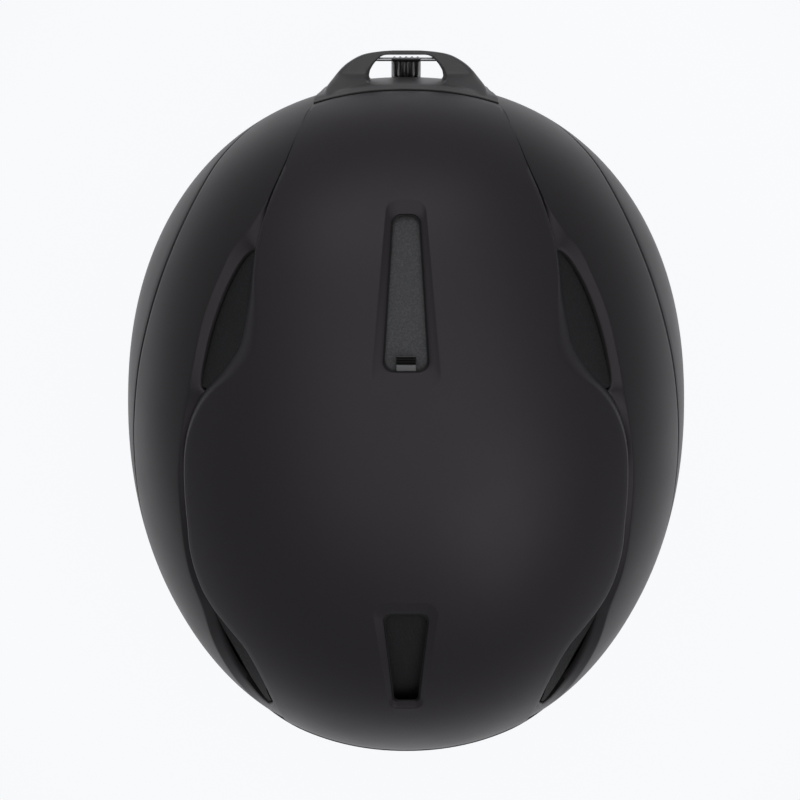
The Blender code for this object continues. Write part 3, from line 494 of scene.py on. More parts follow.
# A darker copy of the vent mesh colour: painted shade for the deep side and brow vent floors.
shaded_floor_look = vent_floor("vent_mesh_shaded", (0.018, 0.018, 0.0195))
piping_look = textured("pad_piping", (0.012, 0.012, 0.013), 0.8, ((0.00012, 1500, 3),),
                       ((0.7, 1.3, 1500, 3),), Specular_IOR_Level=0.3, Sheen_Weight=0.2)
flap_look = textured("flap_rubber", (0.016, 0.016, 0.016), 0.42, ((0.00004, 1700, 3),),
                     ((0.8, 1.3, 300, 3),), Specular_IOR_Level=0.35)
thread_look = textured("stitching", (0.030, 0.030, 0.032), 0.6, ((0.00006, 1800, 2),),
                       ((0.7, 1.3, 1800, 2),), Specular_IOR_Level=0.4)
# Lighter grey than the clip plastic: a painted highlight on the slider grip's front face.
knob_highlight_look = satin_plastic("knob_grey_highlight", (0.20, 0.20, 0.205), 0.32)


# ---------------------------------------------------------------- building blocks

def keep(name, bm, material, angle=35):
    """Turn a bmesh into an object with smooth faces, sharp where they turn by more than angle."""
    mesh = bpy.data.meshes.new(name)
    bm.to_mesh(mesh)
    bm.free()
    item = bpy.data.objects.new(name, mesh)
    bpy.context.scene.collection.objects.link(item)
    if material:
        mesh.materials.append(material)
    mesh.shade_smooth()
    mesh.set_sharp_from_angle(angle=math.radians(angle))
    return item


def loft(name, loops, material, ring=False, pole=False, angle=35):
    """Closed skin through loops of points, with the distances along and round it as its UVs.

    With ring the last loop joins the first. With pole each loop starts and ends on the crown.
    """
    bm = bmesh.new()
    uv = bm.loops.layers.uv.new("UVMap")
    count = len(loops[0])
    verts = [[bm.verts.new(point) for point in loop] for loop in loops]
    along = [0.0]
    for near, far in zip(loops, loops[1:] + loops[:1]):
        along.append(along[-1] + (far[0] - near[0]).length)
    middle = loops[len(loops) // 2]
    around = [0.0]
    for k in range(count):
        around.append(around[-1] + (middle[(k + 1) % count] - middle[k]).length)
    for i in range(len(loops) if ring else len(loops) - 1):
        j = (i + 1) % len(loops)
        for k in range(count - 1 if pole else count):
            m = (k + 1) % count
            face = bm.faces.new((verts[i][k], verts[j][k], verts[j][m], verts[i][m]))
            for corner, spot in zip(face.loops, ((i, k), (i + 1, k), (i + 1, k + 1), (i, k + 1))):
                corner[uv].uv = (along[spot[0]], around[spot[1]])
    if not ring:
        bm.faces.new(verts[0])
        bm.faces.new(list(reversed(verts[-1])))
    bmesh.ops.remove_doubles(bm, verts=bm.verts[:], dist=1e-7)
    loose = [edge for edge in bm.edges if not edge.link_faces]
    bmesh.ops.delete(bm, geom=loose, context="EDGES")
    bmesh.ops.recalc_face_normals(bm, faces=bm.faces[:])
    return keep(name, bm, material, angle)


def prism(name, *loops, material=None, angle=35):
    return loft(name, [list(loop) for loop in loops], material, angle=angle)


def apply_modifiers(item):
    """Bake the modifiers into the mesh."""
    bpy.context.view_layer.update()
    graph = bpy.context.evaluated_depsgraph_get()
    mesh = bpy.data.meshes.new_from_object(item.evaluated_get(graph))
    item.modifiers.clear()
    item.data = mesh
    return item


def modify(item, kind, **settings):
    modifier = item.modifiers.new(kind.title(), kind)
    for key, value in settings.items():
        setattr(modifier, key, value)
    return modifier


def cut(item, *cutters, operation="DIFFERENCE"):
    for cutter in cutters:
        modify(item, "BOOLEAN", operation=operation, solver="EXACT", object=cutter)
    apply_modifiers(item)
    for cutter in cutters:
        bpy.data.objects.remove(cutter)
    return item


def soften(item, angle=35):
    item.data.shade_smooth()
    item.data.set_sharp_from_angle(angle=math.radians(angle))
    return item


def joined(first, *others):
    """One object out of several, by their meshes."""
    bm = bmesh.new()
    for item in (first, *others):
        bm.from_mesh(item.data)
    bm.to_mesh(first.data)
    bm.free()
    for item in others:
        bpy.data.objects.remove(item)
    return first


def stand_for(item, node, *more):
    """The piece takes the CAD node's place, its body and its finish."""
    slot = slots[node]
    if not item.data.materials:
        item.data.materials.append(looks[slot])
    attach(item, nodes[node]["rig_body"])
    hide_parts(node, *more)
    return item


def go_with(item, node, slot=None):
    """The piece is a detail on the CAD node's body."""
    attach(item, nodes[node]["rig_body"])
    slot or slots[node]
    return item


def radial_cutter(loop, out, depth):
    low = [sunk(point, depth) for point in loop]
    high = [sunk(point, -out) for point in loop]
    return prism("cutter", low, high)


def block(center, size, rotation=None):
    bm = bmesh.new()
    bmesh.ops.create_cube(bm, size=1.0)
    bmesh.ops.scale(bm, vec=size, verts=bm.verts[:])
    if rotation:
        bmesh.ops.rotate(bm, matrix=rotation, verts=bm.verts[:])
    bmesh.ops.translate(bm, vec=center, verts=bm.verts[:])
    return keep("cutter", bm, None)


def lathe(name, start, axis, profile, material, steps=48, wobble=None, angle=35):
    """Piece turned from (distance along the axis, radius) points; wobble scales the radius."""
    axis = Vector(axis).normalized()
    side = axis.orthogonal().normalized()
    other = axis.cross(side)
    loops = []
    for turn in turns(steps):
        ray = side * math.cos(turn) + other * math.sin(turn)
        loops.append([Vector(start) + axis * along
                      + ray * max(radius * (wobble(turn, along) if wobble else 1), 1e-5)
                      for along, radius in profile])
    return loft(name, loops, material, ring=True, angle=angle)


def signed_power(value, power):
    return math.copysign(abs(value) ** power, value)


def rounded_section(half_wide, half_thick, corner, steps=3):
    """Rounded rectangle as (across, up) points."""
    points = []
    for k, (sx, sy) in enumerate(((1, 1), (-1, 1), (-1, -1), (1, -1))):
        for i in range(steps + 1):
            turn = math.pi / 2 * (k + i / steps)
            points.append((sx * (half_wide - corner) + corner * math.cos(turn),
                           sy * (half_thick - corner) + corner * math.sin(turn)))
    return points


# ---------------------------------------------------------------- outer shells

def skin(name, stations, profile, material, ring=False, pole=False):
    """Shell whose section at a station is profile(azimuth): (polar, outer inset, inner inset)."""
    loops = []
    for azimuth in stations:
        rows = profile(azimuth)
        outer = [dome_point(azimuth, polar, inset) for polar, inset, _ in rows]
        inner = [dome_point(azimuth, polar, depth) for polar, _, depth in rows]
        loops.append(outer + inner[::-1])
    return loft(name, loops, material, ring, pole, 50)


def center_profile(azimuth):
    turn = fold(azimuth)
    edge = center_polar(azimuth)
    start = edge - curve(ROLL_WIDTH, turn)
    drop = curve(ROLL_DROP, turn) / 1000
    power = curve(ROLL_POWER, turn)
    flat_rows, roll_rows = 46, 10
    rows = []
    for i in range(flat_rows + roll_rows + 1):
        t = max(i - flat_rows, 0) / roll_rows
        polar = start * i / flat_rows if i < flat_rows else start + (edge - start) * t
        inset = RAISE + drop * t ** power
        rows.append((polar, inset, inset + 0.0016))
    return rows


def side_profile(azimuth):
    turn = fold(azimuth)
    top = gap_polar(azimuth)
    lip = max(curve(LIP, turn), top + 0.35)
    depth = curve(LIP_DEPTH, turn) / 1000
    low = rim_polar(azimuth) if turn < SEAM_FRONT else seam_polar(azimuth) - SEAM_GAP
    lip = min(lip, low - 0.8)
    swell = 0.0010 * (1 - smooth(22, 50, turn))
    rows = []
    for t in (0, 0.08, 0.3, 0.55, 0.8, 0.93):
        inset = depth * (1 - t) + 0.00025 * (1 - min(t / 0.08, 1))
        rows.append((top + (lip - top) * t, inset, max(0.0025, inset + 0.0012)))
    rows.append((lip, depth * 0.018, 0.0025))
    rows += [(polar, 0, 0.0025) for polar in spread(lip + 0.25, low - 0.4, 30)]
    rows += [(low - 0.22, 0.00008, 0.0025), (low - 0.08, 0.0003, 0.0025), (low, 0.0009, 0.0025)]
    return [(polar, inset - swell, inner) for polar, inset, inner in rows]


def lower_profile(azimuth):
    top = seam_polar(azimuth) + SEAM_GAP
    low = max(rim_polar(azimuth), top + 1.2)
    rows = [(top, 0.0009, 0.0025), (top + 0.08, 0.0003, 0.0025), (top + 0.22, 0.00008, 0.0025)]
    rows += [(polar, 0, 0.0025) for polar in spread(top + 0.4, low - 0.3, 22)]
    return rows + [(low - 0.1, 0.0001, 0.0025), (low, 0.0005, 0.0025)]


def slot_outline(shape, corner_front, corner_rear, grow=0.0):
    """Rounded trapezium over the centre line, as (x, y) points from the front round to the left."""
    y0, half0, y1, half1 = shape
    y0, y1, half0, half1 = y0 - grow, y1 + grow, half0 + grow, half1 + grow
    right = []
    for turn in spread(0, math.pi / 2, 8):
        right.append((half0 - corner_front * (1 - math.sin(turn)),
                      y0 + corner_front * (1 - math.cos(turn))))
    low, high = y0 + corner_front, y1 - corner_rear
    for t in spread(0, 1, 28)[1:-1]:
        right.append((half0 + (half1 - half0) * t, low + (high - low) * t))
    for turn in spread(0, math.pi / 2, 8):
        right.append((half1 - corner_rear * (1 - math.cos(turn)),
                      y1 - corner_rear * (1 - math.sin(turn))))
    right = [(0.5 * right[0][0], y0)] + right + [(0.5 * right[-1][0], y1)]
    return right + [(-x, y) for x, y in reversed(right)]


def vent_collar(name, ring, hole, deep, material):
    """Chamfer from the shell's surface down to the hole, and the hole's wall."""
    def at(t, inset):
        return [dome_over(a[0] + (b[0] - a[0]) * t, a[1] + (b[1] - a[1]) * t, inset)
                for a, b in zip(ring, hole)]
    levels = [at(t, RAISE + drop) for t, drop in (
        (-0.03, -0.00002), (0.05, 0.00003), (0.12, 0.00014), (0.20, 0.00030), (0.30, 0.00050),
        (0.6, 0.00095), (0.86, 0.00135), (0.94, 0.0016), (1.0, 0.0024))]
    levels += [at(1.0, 0.0022), at(0.95, 0.0026), at(0.6, deep), at(0.3, deep), at(0.0, 0.0024)]
    loops = [[level[k] for level in levels] for k in range(len(ring))]
    return loft(name, loops, material, ring=True, angle=40)


def make_center_shell():
    """Raised shell with the two centre line vents, each with a collar and a thin dark rubber strip
    inside its hole as a painted shadow line.
    """
    stations = walk(center_polar, -180, 180, 0.0019)[:-1]
    shell = skin("shell_center_skin", stations, center_profile, looks["shell_black"],
                 ring=True, pole=True)
    rise = Vector((0, 0, 0.012))
    collars = []
    shadow_strips = []
    for word, ring, ring_corners, hole, corners, deep, seat in (
            ("middle", MIDDLE_RING, (0.0062, 0.0050), MIDDLE_HOLE, (0.0045, 0.0040), 0.0029,
             0.0024),
            ("brow", BROW_RING, (0.0042, 0.0052), BROW_HOLE, (0.0019, 0.0030), 0.0050, 0.0034)):
        outline, inner = slot_outline(ring, *ring_corners), slot_outline(hole, *corners)
        loop = [dome_over(x, y, RAISE) for x, y in outline]
        cut(shell, prism("cutter", [point - rise for point in loop],
                         [point + rise for point in loop]))
        collars.append(vent_collar(word + "_vent_collar", outline, inner, deep,
                                   looks["shell_black"]))
        # A thin dark rubber strip just inside the hole: a painted shadow line at the hole's edge.
        lining = slot_outline(hole, *corners, -SHADOW_STRIP_WIDTH)
        loops = [[dome_over(*far, 0.0009), dome_over(*far, seat), dome_over(*near, seat),
                  dome_over(*near, 0.0013)] for far, near in zip(inner, lining)]
        shadow_strips.append(loft(word + "_vent_shadow_strip", loops, looks["trim_rubber"], ring=True))
    soften(shell, 50)
    stand_for(joined(shell, *collars), "shell_center")
    for shadow_strip in shadow_strips:
        go_with(shadow_strip, "shell_center", "trim_rubber")


def make_side_shell():
    half = walk(gap_polar, SIDE_FRONT, 180, 0.0017)
    stations = half + [360 - azimuth for azimuth in reversed(half[:-1])]
    stand_for(skin("shell_side_skin", stations, side_profile, looks["shell_side_black"]),
              "shell_side")


def make_lower_shell():
    stations = walk(seam_polar, 51, 360 - 51, 0.0022)
    stand_for(skin("shell_lower_skin", stations, lower_profile, looks["shell_side_black"]),
              "shell_lower")


def make_rim_trim():
    """Rubber edging round the rim, with a soft outer bead."""
    section = rounded_section(0.0024, 0.00125, 0.0009, 4)
    loops = []
    for azimuth in spread(-180, 180, 300)[:-1]:
        rim = rim_polar(azimuth)
        loop = []
        for across, up in section:
            proud = 0.0016 * (1 - smooth(17, 30, fold(azimuth))) * smooth(0.0, 0.0024, -across)
            loop.append(dome_point(azimuth, rim + 0.72 + up * 460, 0.0018 + across - proud))
        loops.append(loop)
    stand_for(loft("rim_trim_bead", loops, looks["trim_rubber"], ring=True), "rim_trim")


# ---------------------------------------------------------------- vents

def make_side_floors():
    """Mesh that falls away under each side vent, with a step down near its outer edge."""
    def edge_point(side, edge, spot, shift):
        azimuth, polar = line_at(edge, spot)
        return dome_point(side * azimuth, polar + shift, 0.0)
    for side, word in SIDES:
        for place, inner, outer, shallow, deep, step, bend in (
                ("rear", REAR_VENT_INNER, REAR_VENT_OUTER, 0.0020, 0.0050, 0.0030, 0.76),
                ("front", FRONT_VENT_INNER, FRONT_VENT_OUTER, 0.0014, 0.0036, 0.0080, 0.46)):
            loops = []
            for spot in spread(0.0, 3.9, 44):
                near = edge_point(side, inner, spot, -1.7)
                far = edge_point(side, outer, spot, 0.6)
                top, low = [], []
                for t in spread(0, 1, 24):
                    point = near.lerp(far, t)
                    steep = max(point.normalized().z, 0.42)
                    fall = step * smooth(bend, bend + 0.18, t)
                    drop = (shallow + (deep - shallow) * t ** 1.3 + fall) / steep
                    top.append(point - Vector((0, 0, drop)))
                    low.append(point - Vector((0, 0, drop + 0.0014)))
                loops.append(top + low[::-1])
            name = "vent_mesh_" + place + "_" + word
            # The side vent floors take the darker copy of the vent mesh, painted shade.
            stand_for(loft(name + "_floor", loops, shaded_floor_look), name)


def make_brow_floor():
    y0, half0, y1, half1 = BROW_FLOOR
    loops = []
    for t in spread(0, 1, 30):
        y = y1 + (y0 - y1) * t
        half = half1 + (half0 - half1) * t
        depth = 0.0036 + 0.0022 * t + 0.0042 * smooth(0.78, 1.0, t)
        top, low = [], []
        for across in spread(-1, 1, 12):
            sag = 0.0005 * (1 - across ** 2)
            top.append(dome_over(half * across, y, depth + sag))
            low.append(dome_over(half * across, y, depth + sag + 0.0012))
        loops.append(top + low[::-1])
    # The brow vent floor takes the darker copy of the vent mesh, painted shade.
    stand_for(loft("vent_mesh_brow_floor", loops, shaded_floor_look), "vent_mesh_brow")


def shutter_point(angle, x, radius):
    turn = math.radians(angle)
    return Vector((x, SHUTTER_Y + radius * math.sin(turn), SHUTTER_Z + radius * math.cos(turn)))


def make_shutter():
    """Curved plate under the middle vent, and the ribbed grip that slides it."""
    loops = [[shutter_point(angle, across, SHUTTER_RADIUS - 0.0006 + up)
              for across, up in rounded_section(0.0118, 0.0006, 0.0004)]
             for angle in spread(-2.3, 29.2, 60)]
    stand_for(loft("vent_shutter_plate", loops, looks["vent_mesh"]), "vent_shutter")
    first, last = -0.75, 1.85
    def knob_loop(t, tall, half):
        return [shutter_point(first + (last - first) * t, across,
                              SHUTTER_RADIUS + 0.0003 + tall / 2 + up)
                for across, up in rounded_section(half, tall / 2, 0.0005)]
    loops = [knob_loop(*row) for row in (
        (0, 0.0010, 0.0037), (0.04, 0.0016, 0.0039), (0.12, 0.0022, 0.0040),
        (0.24, 0.0030, 0.0040), (0.36, 0.0038, 0.0040), (0.42, 0.0041, 0.0040),
        (0.46, 0.0036, 0.0040), (0.48, 0.0026, 0.0039), (0.96, 0.0026, 0.0039),
        (1.0, 0.0020, 0.0037))]
    # The grip's light grey is a painted highlight.
    stand_for(loft("vent_slider_grip", loops, knob_highlight_look), "vent_slider_knob")
    loops = []
    for t in spread(0.475, 0.985, 36):
        rib = 0.0006 * math.cos((t - 0.475) / 0.51 * 6 * math.pi)
        end = 1 - 0.5 * smooth(0.95, 0.985, t)
        loops.append(knob_loop(t, (0.0034 + rib) * end, 0.0040))
    go_with(loft("vent_slider_ribs", loops, looks["trim_rubber"]), "vent_slider_knob",
            "trim_rubber")


# ---------------------------------------------------------------- foam liner

def foam_groove(point):
    """How far the air channels cut into the foam's inner face."""
    above = smooth(0.030, 0.045, point.z)
    middle = 1 - smooth(0.0055, 0.0085, abs(point.x))
    side = 1 - smooth(0.004, 0.007, abs(abs(point.x) - 0.047))
    cross = 1 - smooth(0.004, 0.007, abs(point.y - 0.068))
    return 0.0045 * above * max(middle, side * 0.8, cross * 0.8)


def make_foam():
    loops = []
    for azimuth in spread(-180, 180, 200)[:-1]:
        rim = rim_polar(azimuth)
        turn = fold(azimuth)
        recess = max(1 - smooth(3.6, 5.0, abs(turn - spot)) for spot in STRAP_RECESSES)
        outer = []
        for polar in spread(0, rim - 0.6, 44):
            inset = FOAM_OUTER + 0.0078 * (1 - smooth(rim - 14, rim - 9, polar))
            inset = max(inset, FOAM_OUTER + 0.0036 * recess)
            outer.append(dome_point(azimuth, polar, inset))
        for t in spread(0, 1, 5)[1:]:
            inset = FOAM_OUTER + 0.0036 * recess + 0.0016 * t ** 2
            outer.append(dome_point(azimuth, rim - 0.6 + 0.55 * math.sin(math.pi / 2 * t), inset))
        inner = []
        for t in spread(0, 1, 5):
            inset = FOAM_INNER - 0.0025 * (1 - t) ** 2
            inner.append(dome_point(azimuth, rim - 0.1 - 0.9 * (1 - math.cos(math.pi / 2 * t)),
                                    inset))
        for polar in spread(rim - 1.4, 0, 56)[:-1]:
            point = dome_point(azimuth, polar, FOAM_INNER)
            inner.append(dome_point(azimuth, polar, FOAM_INNER - foam_groove(point)))
        inner.append(dome_point(azimuth, 0, FOAM_INNER - 0.0045))
        loops.append(outer + inner)
    foam = loft("foam_liner_shell", loops, looks["foam"], ring=True, pole=True, angle=45)
    slots_through = [slot_outline((0.016, 0.0062, 0.071, 0.0046), 0.003, 0.003),
                     slot_outline((-0.1215, 0.0040, -0.113, 0.0050), 0.0015, 0.0015)]
    cutters = [radial_cutter([dome_over(x, y, 0.0) for x, y in outline], 0.01, 0.045)
               for outline in slots_through]
    cut(foam, *cutters)
    soften(foam, 45)
    stand_for(foam, "foam_liner")


# ---------------------------------------------------------------- pads

cushions = []


def cushion(node, place, count, across=24, power=0.7, swell=0.0015, fill=0.6, voxel=0.0026):
    """Rounded pad in the space place(u, v, w), with u, v and w from 0 to 1 and w the thickness."""
    loops = []
    for i in range(count + 1):
        u = 0.5 - 0.5 * math.cos(math.pi * i / count)
        end = abs(2 * u - 1)
        thick = max(1 - max((end - 0.82) / 0.18, 0) ** 2.2, 0.02) ** 0.45
        wide = max(1 - max((end - 0.80) / 0.20, 0) ** 2.4, 0.02) ** 0.4
        loop = []
        for turn in turns(across):
            v = 0.5 + 0.5 * wide * signed_power(math.cos(turn), 0.55)
            crown = 1 - 0.28 * abs(2 * v - 1) ** 2.5
            w = 0.5 + 0.5 * thick * crown * signed_power(math.sin(turn), power)
            loop.append(place(u, v, w))
        loops.append(loop)
    item = loft(node + "_cushion", loops, looks["pad_fabric"], angle=180)
    cushions.append((item, swell, voxel))
    rim = [place(0.5 + 0.4925 * signed_power(math.cos(turn), 0.5),
                 0.5 + 0.4925 * signed_power(math.sin(turn), 0.55), 0.5) for turn in turns(96)]
    tube(node + "_piping", rim, 0.00055, piping_look, node)
    stand_for(item, node)
    return item


def tube(name, points, radius, material, node, ring=True, sides=8):
    """Round cord along points, as a detail of a CAD node's body."""
    loops = []
    count = len(points)
    for i, point in enumerate(points):
        before = points[(i - 1) % count] if ring or i else point
        after = points[(i + 1) % count] if ring or i < count - 1 else point
        along = (after - before).normalized()
        side = along.cross(point.normalized()).normalized()
        other = along.cross(side)
        loops.append([point + (side * math.cos(turn) + other * math.sin(turn)) * radius
                      for turn in turns(sides)])
    return go_with(loft(name, loops, material, ring=ring), node)


def dome_cushion(node, first, last, upper, lower, insets, count, **settings):
    def place(u, v, w):
        azimuth = first + (last - first) * u
        top = upper(azimuth)
        return dome_point(azimuth, top + (lower(azimuth) - top) * v,
                          insets[0] + (insets[1] - insets[0]) * w)
    return cushion(node, place, count, **settings)


def make_pads():
    def above_rim(azimuth, height):
        return min(polar_at(azimuth, height), rim_polar(azimuth) - 0.8)
    dome_cushion("brow_pad", -50, 50, lambda a: polar_at(a, 0.024), lambda a: above_rim(a, -0.03),
                 (PAD_OUTER, 0.0325), 60, swell=0.0012)
    for side, word in SIDES:
        dome_cushion("side_pad_" + word, side * 58, side * 112, lambda a: polar_at(a, 0.038),
                     lambda a: above_rim(a, -0.010), (PAD_OUTER, 0.0318), 40, swell=0.001)
        dome_cushion("rear_pad_" + word, side * 120, side * 154, lambda a: polar_at(a, 0.042),
                     lambda a: above_rim(a, -0.024), (PAD_OUTER, 0.0318), 32, swell=0.001)
        def crown_place(u, v, w, side=side):
            return dome_over(side * (0.012 + 0.028 * v), -0.066 + 0.126 * u,
                             PAD_OUTER + (0.0318 - PAD_OUTER) * w)
        cushion("crown_pad_" + word, crown_place, 50, swell=0.001)


def make_ear_pads():
    """Soft ear flaps, each with a raised ring of piping cloth over the ear."""
    for side, word in SIDES:
        def lower(azimuth):
            across = (fold(azimuth) - EAR_AZIMUTH) / 34
            return polar_at(azimuth, -0.090 + 0.030 * abs(across) ** 4)
        dome_cushion("ear_pad_" + word, side * 60, side * 124, lambda a: rim_polar(a) + 3.0,
                     lower, (0.0080, 0.0212), 56, power=0.75, swell=0.002, fill=0.7,
                     voxel=0.0035)
        loops = []
        for turn in turns(72):
            def at(size, inset):
                azimuth = EAR_AZIMUTH + 13.5 * size * math.cos(turn)
                polar = polar_at(EAR_AZIMUTH, EAR_HEIGHT) + 8.0 * size * math.sin(turn)
                return dome_point(side * azimuth, polar, inset)
            loops.append([at(1.0, 0.0078), at(1.0, 0.0066), at(0.94, 0.0062), at(0.86, 0.0066),
                          at(0.86, 0.0078)])
        go_with(loft("ear_ring_" + word, loops, piping_look, ring=True), "ear_pad_" + word)


def settle_cushions():
    """Swell the pads' cloth together under a little pressure, then keep the result."""
    scene = bpy.context.scene
    rests = {}
    for item, _, voxel in cushions:
        modify(item, "REMESH", mode="VOXEL", voxel_size=voxel)
        apply_modifiers(item)
        rests[item.name] = [vert.co.copy() for vert in item.data.vertices]
        cloth = modify(item, "CLOTH")
        cloth.settings.use_pressure = True
        cloth.settings.uniform_pressure_force = 4.0
        cloth.settings.effector_weights.gravity = 0.0
        cloth.settings.quality = 4
        cloth.settings.mass = 0.2
    for step in range(1, 21):
        scene.frame_set(step)
    graph = bpy.context.evaluated_depsgraph_get()
    moved = {}
    for item, _, _ in cushions:
        posed = item.evaluated_get(graph)
        moved[item.name] = [vert.co.copy() for vert in posed.data.vertices]
    for item, swell, _ in cushions:
        item.modifiers.clear()
        for vert, rest, spot in zip(item.data.vertices, rests[item.name], moved[item.name]):
            shift = spot - rest
            if shift.length > swell:
                shift *= swell / shift.length
            vert.co = rest + shift
        modify(item, "SUBSURF", levels=1)
        apply_modifiers(item)
        soften(item, 180)
    scene.frame_set(1)


# ---------------------------------------------------------------- goggle clip

def make_goggle_clip():
    """Grained base with two faceted arms and a bar that stands off the shell."""
    loops = []
    for u in spread(-1, 1, 60):
        outer, inner = [], []
        for v in spread(0, 1, 26):
            azimuth = 180 + u * (180 - CLIP_EDGE - 0.1 - 3.0 * smooth(0.0, 0.55, v))
            top = CLIP_TOP + 0.35
            polar = top + (polar_at(azimuth, -0.008) - top) * v
            outer.append(dome_point(azimuth, polar, -0.0016 - 0.0008 * smooth(0, 0.14, v)))
            inner.append(dome_point(azimuth, polar, -0.0005))
        loops.append(outer + inner[::-1])
    base = loft("goggle_clip_grip", loops, looks["clip_grey"])
    half_line = ((0.1100, 0.0310), (0.1240, 0.0330), (0.1276, 0.0328), (0.1319, 0.0298),
                 (0.1367, 0.0257), (0.1401, 0.0209), (0.1420, 0.0161), (0.1430, 0.0093),
                 (0.1432, 0.0060))
    top_line = ((0.110, 0.0400), (0.122, 0.0312), (0.1285, 0.0232), (0.1328, 0.0176),
                (0.1337, 0.0168), (0.1350, 0.0164), (0.144, 0.0150))
    low_line = ((0.110, 0.0120), (0.126, 0.0075), (0.133, 0.0065), (0.144, 0.0090))
    loops = []
    for y in spread(0.110, 0.1360, 52) + spread(0.1364, 0.1432, 34):
        half, top, low = (curve(line, y) for line in (half_line, top_line, low_line))
        side = [(half, low), (half, top - 0.0022), (half - 0.0004, top - 0.0010),
                (half - 0.0014, top - 0.0002), (half - 0.0024, top)]
        loops.append([Vector((x, y, z)) for x, z in side]
                     + [Vector((-x, y, z)) for x, z in reversed(side)])
    bridge = loft("bridge", loops, None)
    corner = [(0.0, 0.1300), (0.0122, 0.1300), (0.0137, 0.1304), (0.0148, 0.1314),
              (0.0152, 0.1330), (0.0148, 0.1352), (0.0134, 0.1376), (0.0120, 0.1393),
              (0.0107, 0.1405), (0.0092, 0.1412), (0.0079, 0.1414)]
    window_plan = corner + [(-x, y) for x, y in reversed(corner[1:])]
    window = prism("window", [Vector((x, y, -0.01)) for x, y in window_plan],
                   [Vector((x, y, 0.03)) for x, y in window_plan])
    wide_plan = [(x * 1.10, 0.1352 + (y - 0.1352) * 1.16) for x, y in window_plan]
    chamfer = prism("chamfer", [Vector((x, y, 0.0150)) for x, y in window_plan],
                    [Vector((x, y, 0.0170)) for x, y in wide_plan],
                    [Vector((x * 1.05, y, 0.0300)) for x, y in wide_plan])
    cut(bridge, window, chamfer, block((0, 0.1435, BAR_BOTTOM - 0.010), (0.0208, 0.015, 0.020)))
    cut(base, bridge, operation="UNION")
    inside = skin("inside", spread(150, 210, 40),
                  lambda azimuth: [(polar, -0.0006, 0.03) for polar in spread(66, 114, 30)], None)
    cut(base, inside)
    modify(base, "REMESH", mode="VOXEL", voxel_size=0.00042)
    modify(base, "SMOOTH", factor=0.5, iterations=5)
    apply_modifiers(base)
    base.data.materials.clear()
    soften(base, 60)
    stand_for(base, "goggle_clip_base")
    # A dark rubber strip along the clip's top edge: a painted shadow line where the clip stands off
    # the shell.
    loops = [[dome_point(180 + u * (180 - CLIP_EDGE - 0.2), CLIP_TOP + polar, inset)
              for polar, inset in ((0.05, -0.0017), (0.05, -0.0008), (0.5, -0.0008),
                                   (0.5, -0.0017))] for u in spread(-1, 1, 60)]
    go_with(loft("goggle_clip_shadow_strip", loops, looks["trim_rubber"]), "goggle_clip_base",
            "trim_rubber")


def make_clip_flap():
    """Rubber flap on the steel pin, ribbed on both faces, with a grip at its foot."""
    run = FLAP_FOOT - CLIP_PIN
    along = run.normalized()
    outward = Vector((0, -along.z, along.y))
    def crest(across):
        return (0.5 + 0.5 * math.cos(across * 5 * math.pi)) ** 0.6
    loops = []
    for t in spread(0, 1, 60):
        spot = CLIP_PIN + along * (-0.0014 + (run.length + 0.0070) * t)
        out = 0.0011 * math.sqrt(max(1 - (1 - min(t / 0.03, 1)) ** 2, 0.05))
        foot = smooth(0.86, 0.93, t)
        grip = foot * 0.0009 * (0.6 + 0.4 * math.sin(t * 160))
        bulge = 0.0010 * foot * (1 - smooth(0.93, 1.0, t))
        ribs = smooth(0.02, 0.06, t) * (1 - smooth(0.82, 0.86, t))
        loop = []
        for way in (1, -1):
            for across in spread(-way, way, 40):
                edge = math.sqrt(max(1 - abs(across) ** 10, 0.08))
                if way > 0:
                    rise = (out - 0.00055 + grip) * edge + ribs * 0.0010 * crest(across)
                else:
                    rise = -out * edge - ribs * (0.0008 * crest(across) - 0.0006) - bulge
                loop.append(spot + outward * rise + Vector((FLAP_HALF * across, 0, 0)))
        loops.append(loop)
    stand_for(loft("goggle_flap_ribbed", loops, flap_look, angle=50), "goggle_clip_flap")
    long = 2 * PIN_HALF
    profile = [(0, 0.0002), (0.0001, 0.0006), (0.0003, 0.0008), (long - 0.0003, 0.0008),
               (long - 0.0001, 0.0006), (long, 0.0002)]
    stand_for(lathe("goggle_pin_rod", CLIP_PIN - Vector((PIN_HALF, 0, 0)), (1, 0, 0), profile,
                    looks["steel"], 24), "goggle_clip_pin")


def make_clip_screws():
    for side, word in SIDES:
        spot = dome_point(180 - side * 12.5, 91.2, -0.0027)
        outward = spot.normalized()
        radius = 0.0024
        profile = [(0, 0.0001), (0, radius - 0.0001), (0.0004, radius), (0.0008, radius * 0.9),
                   (0.00108, radius * 0.6), (0.0012, 0.0001)]
        screw = lathe("clip_screw_head_" + word, spot, outward, profile, None, 40)
        turn = outward.to_track_quat("Z", "Y").to_matrix()
        top = spot + outward * 0.0012
        cut(screw, block(top, (0.0030, 0.0006, 0.0014), turn),
            block(top, (0.0006, 0.0030, 0.0014), turn))
        soften(screw, 30)
        screw.data.materials.clear()
        stand_for(screw, "clip_screw_" + word)


# ---------------------------------------------------------------- moulded parts

def polished(node, width, segments=2, angle=30):
    """The CAD part's own shape with its edges rounded off."""
    bm = bmesh.new()
    bm.from_mesh(nodes[node].data)
    bmesh.ops.remove_doubles(bm, verts=bm.verts[:], dist=1e-6)
    bmesh.ops.dissolve_limit(bm, angle_limit=math.radians(1.0), verts=bm.verts[:],
                             edges=bm.edges[:])
    bmesh.ops.recalc_face_normals(bm, faces=bm.faces[:])
    item = keep(node + "_moulded", bm, None, angle)
    modify(item, "BEVEL", width=width, segments=segments, limit_method="ANGLE",
           angle_limit=math.radians(angle), use_clamp_overlap=True)
    apply_modifiers(item)
    item.data.materials.clear()
    soften(item, 40)
    return stand_for(item, node)


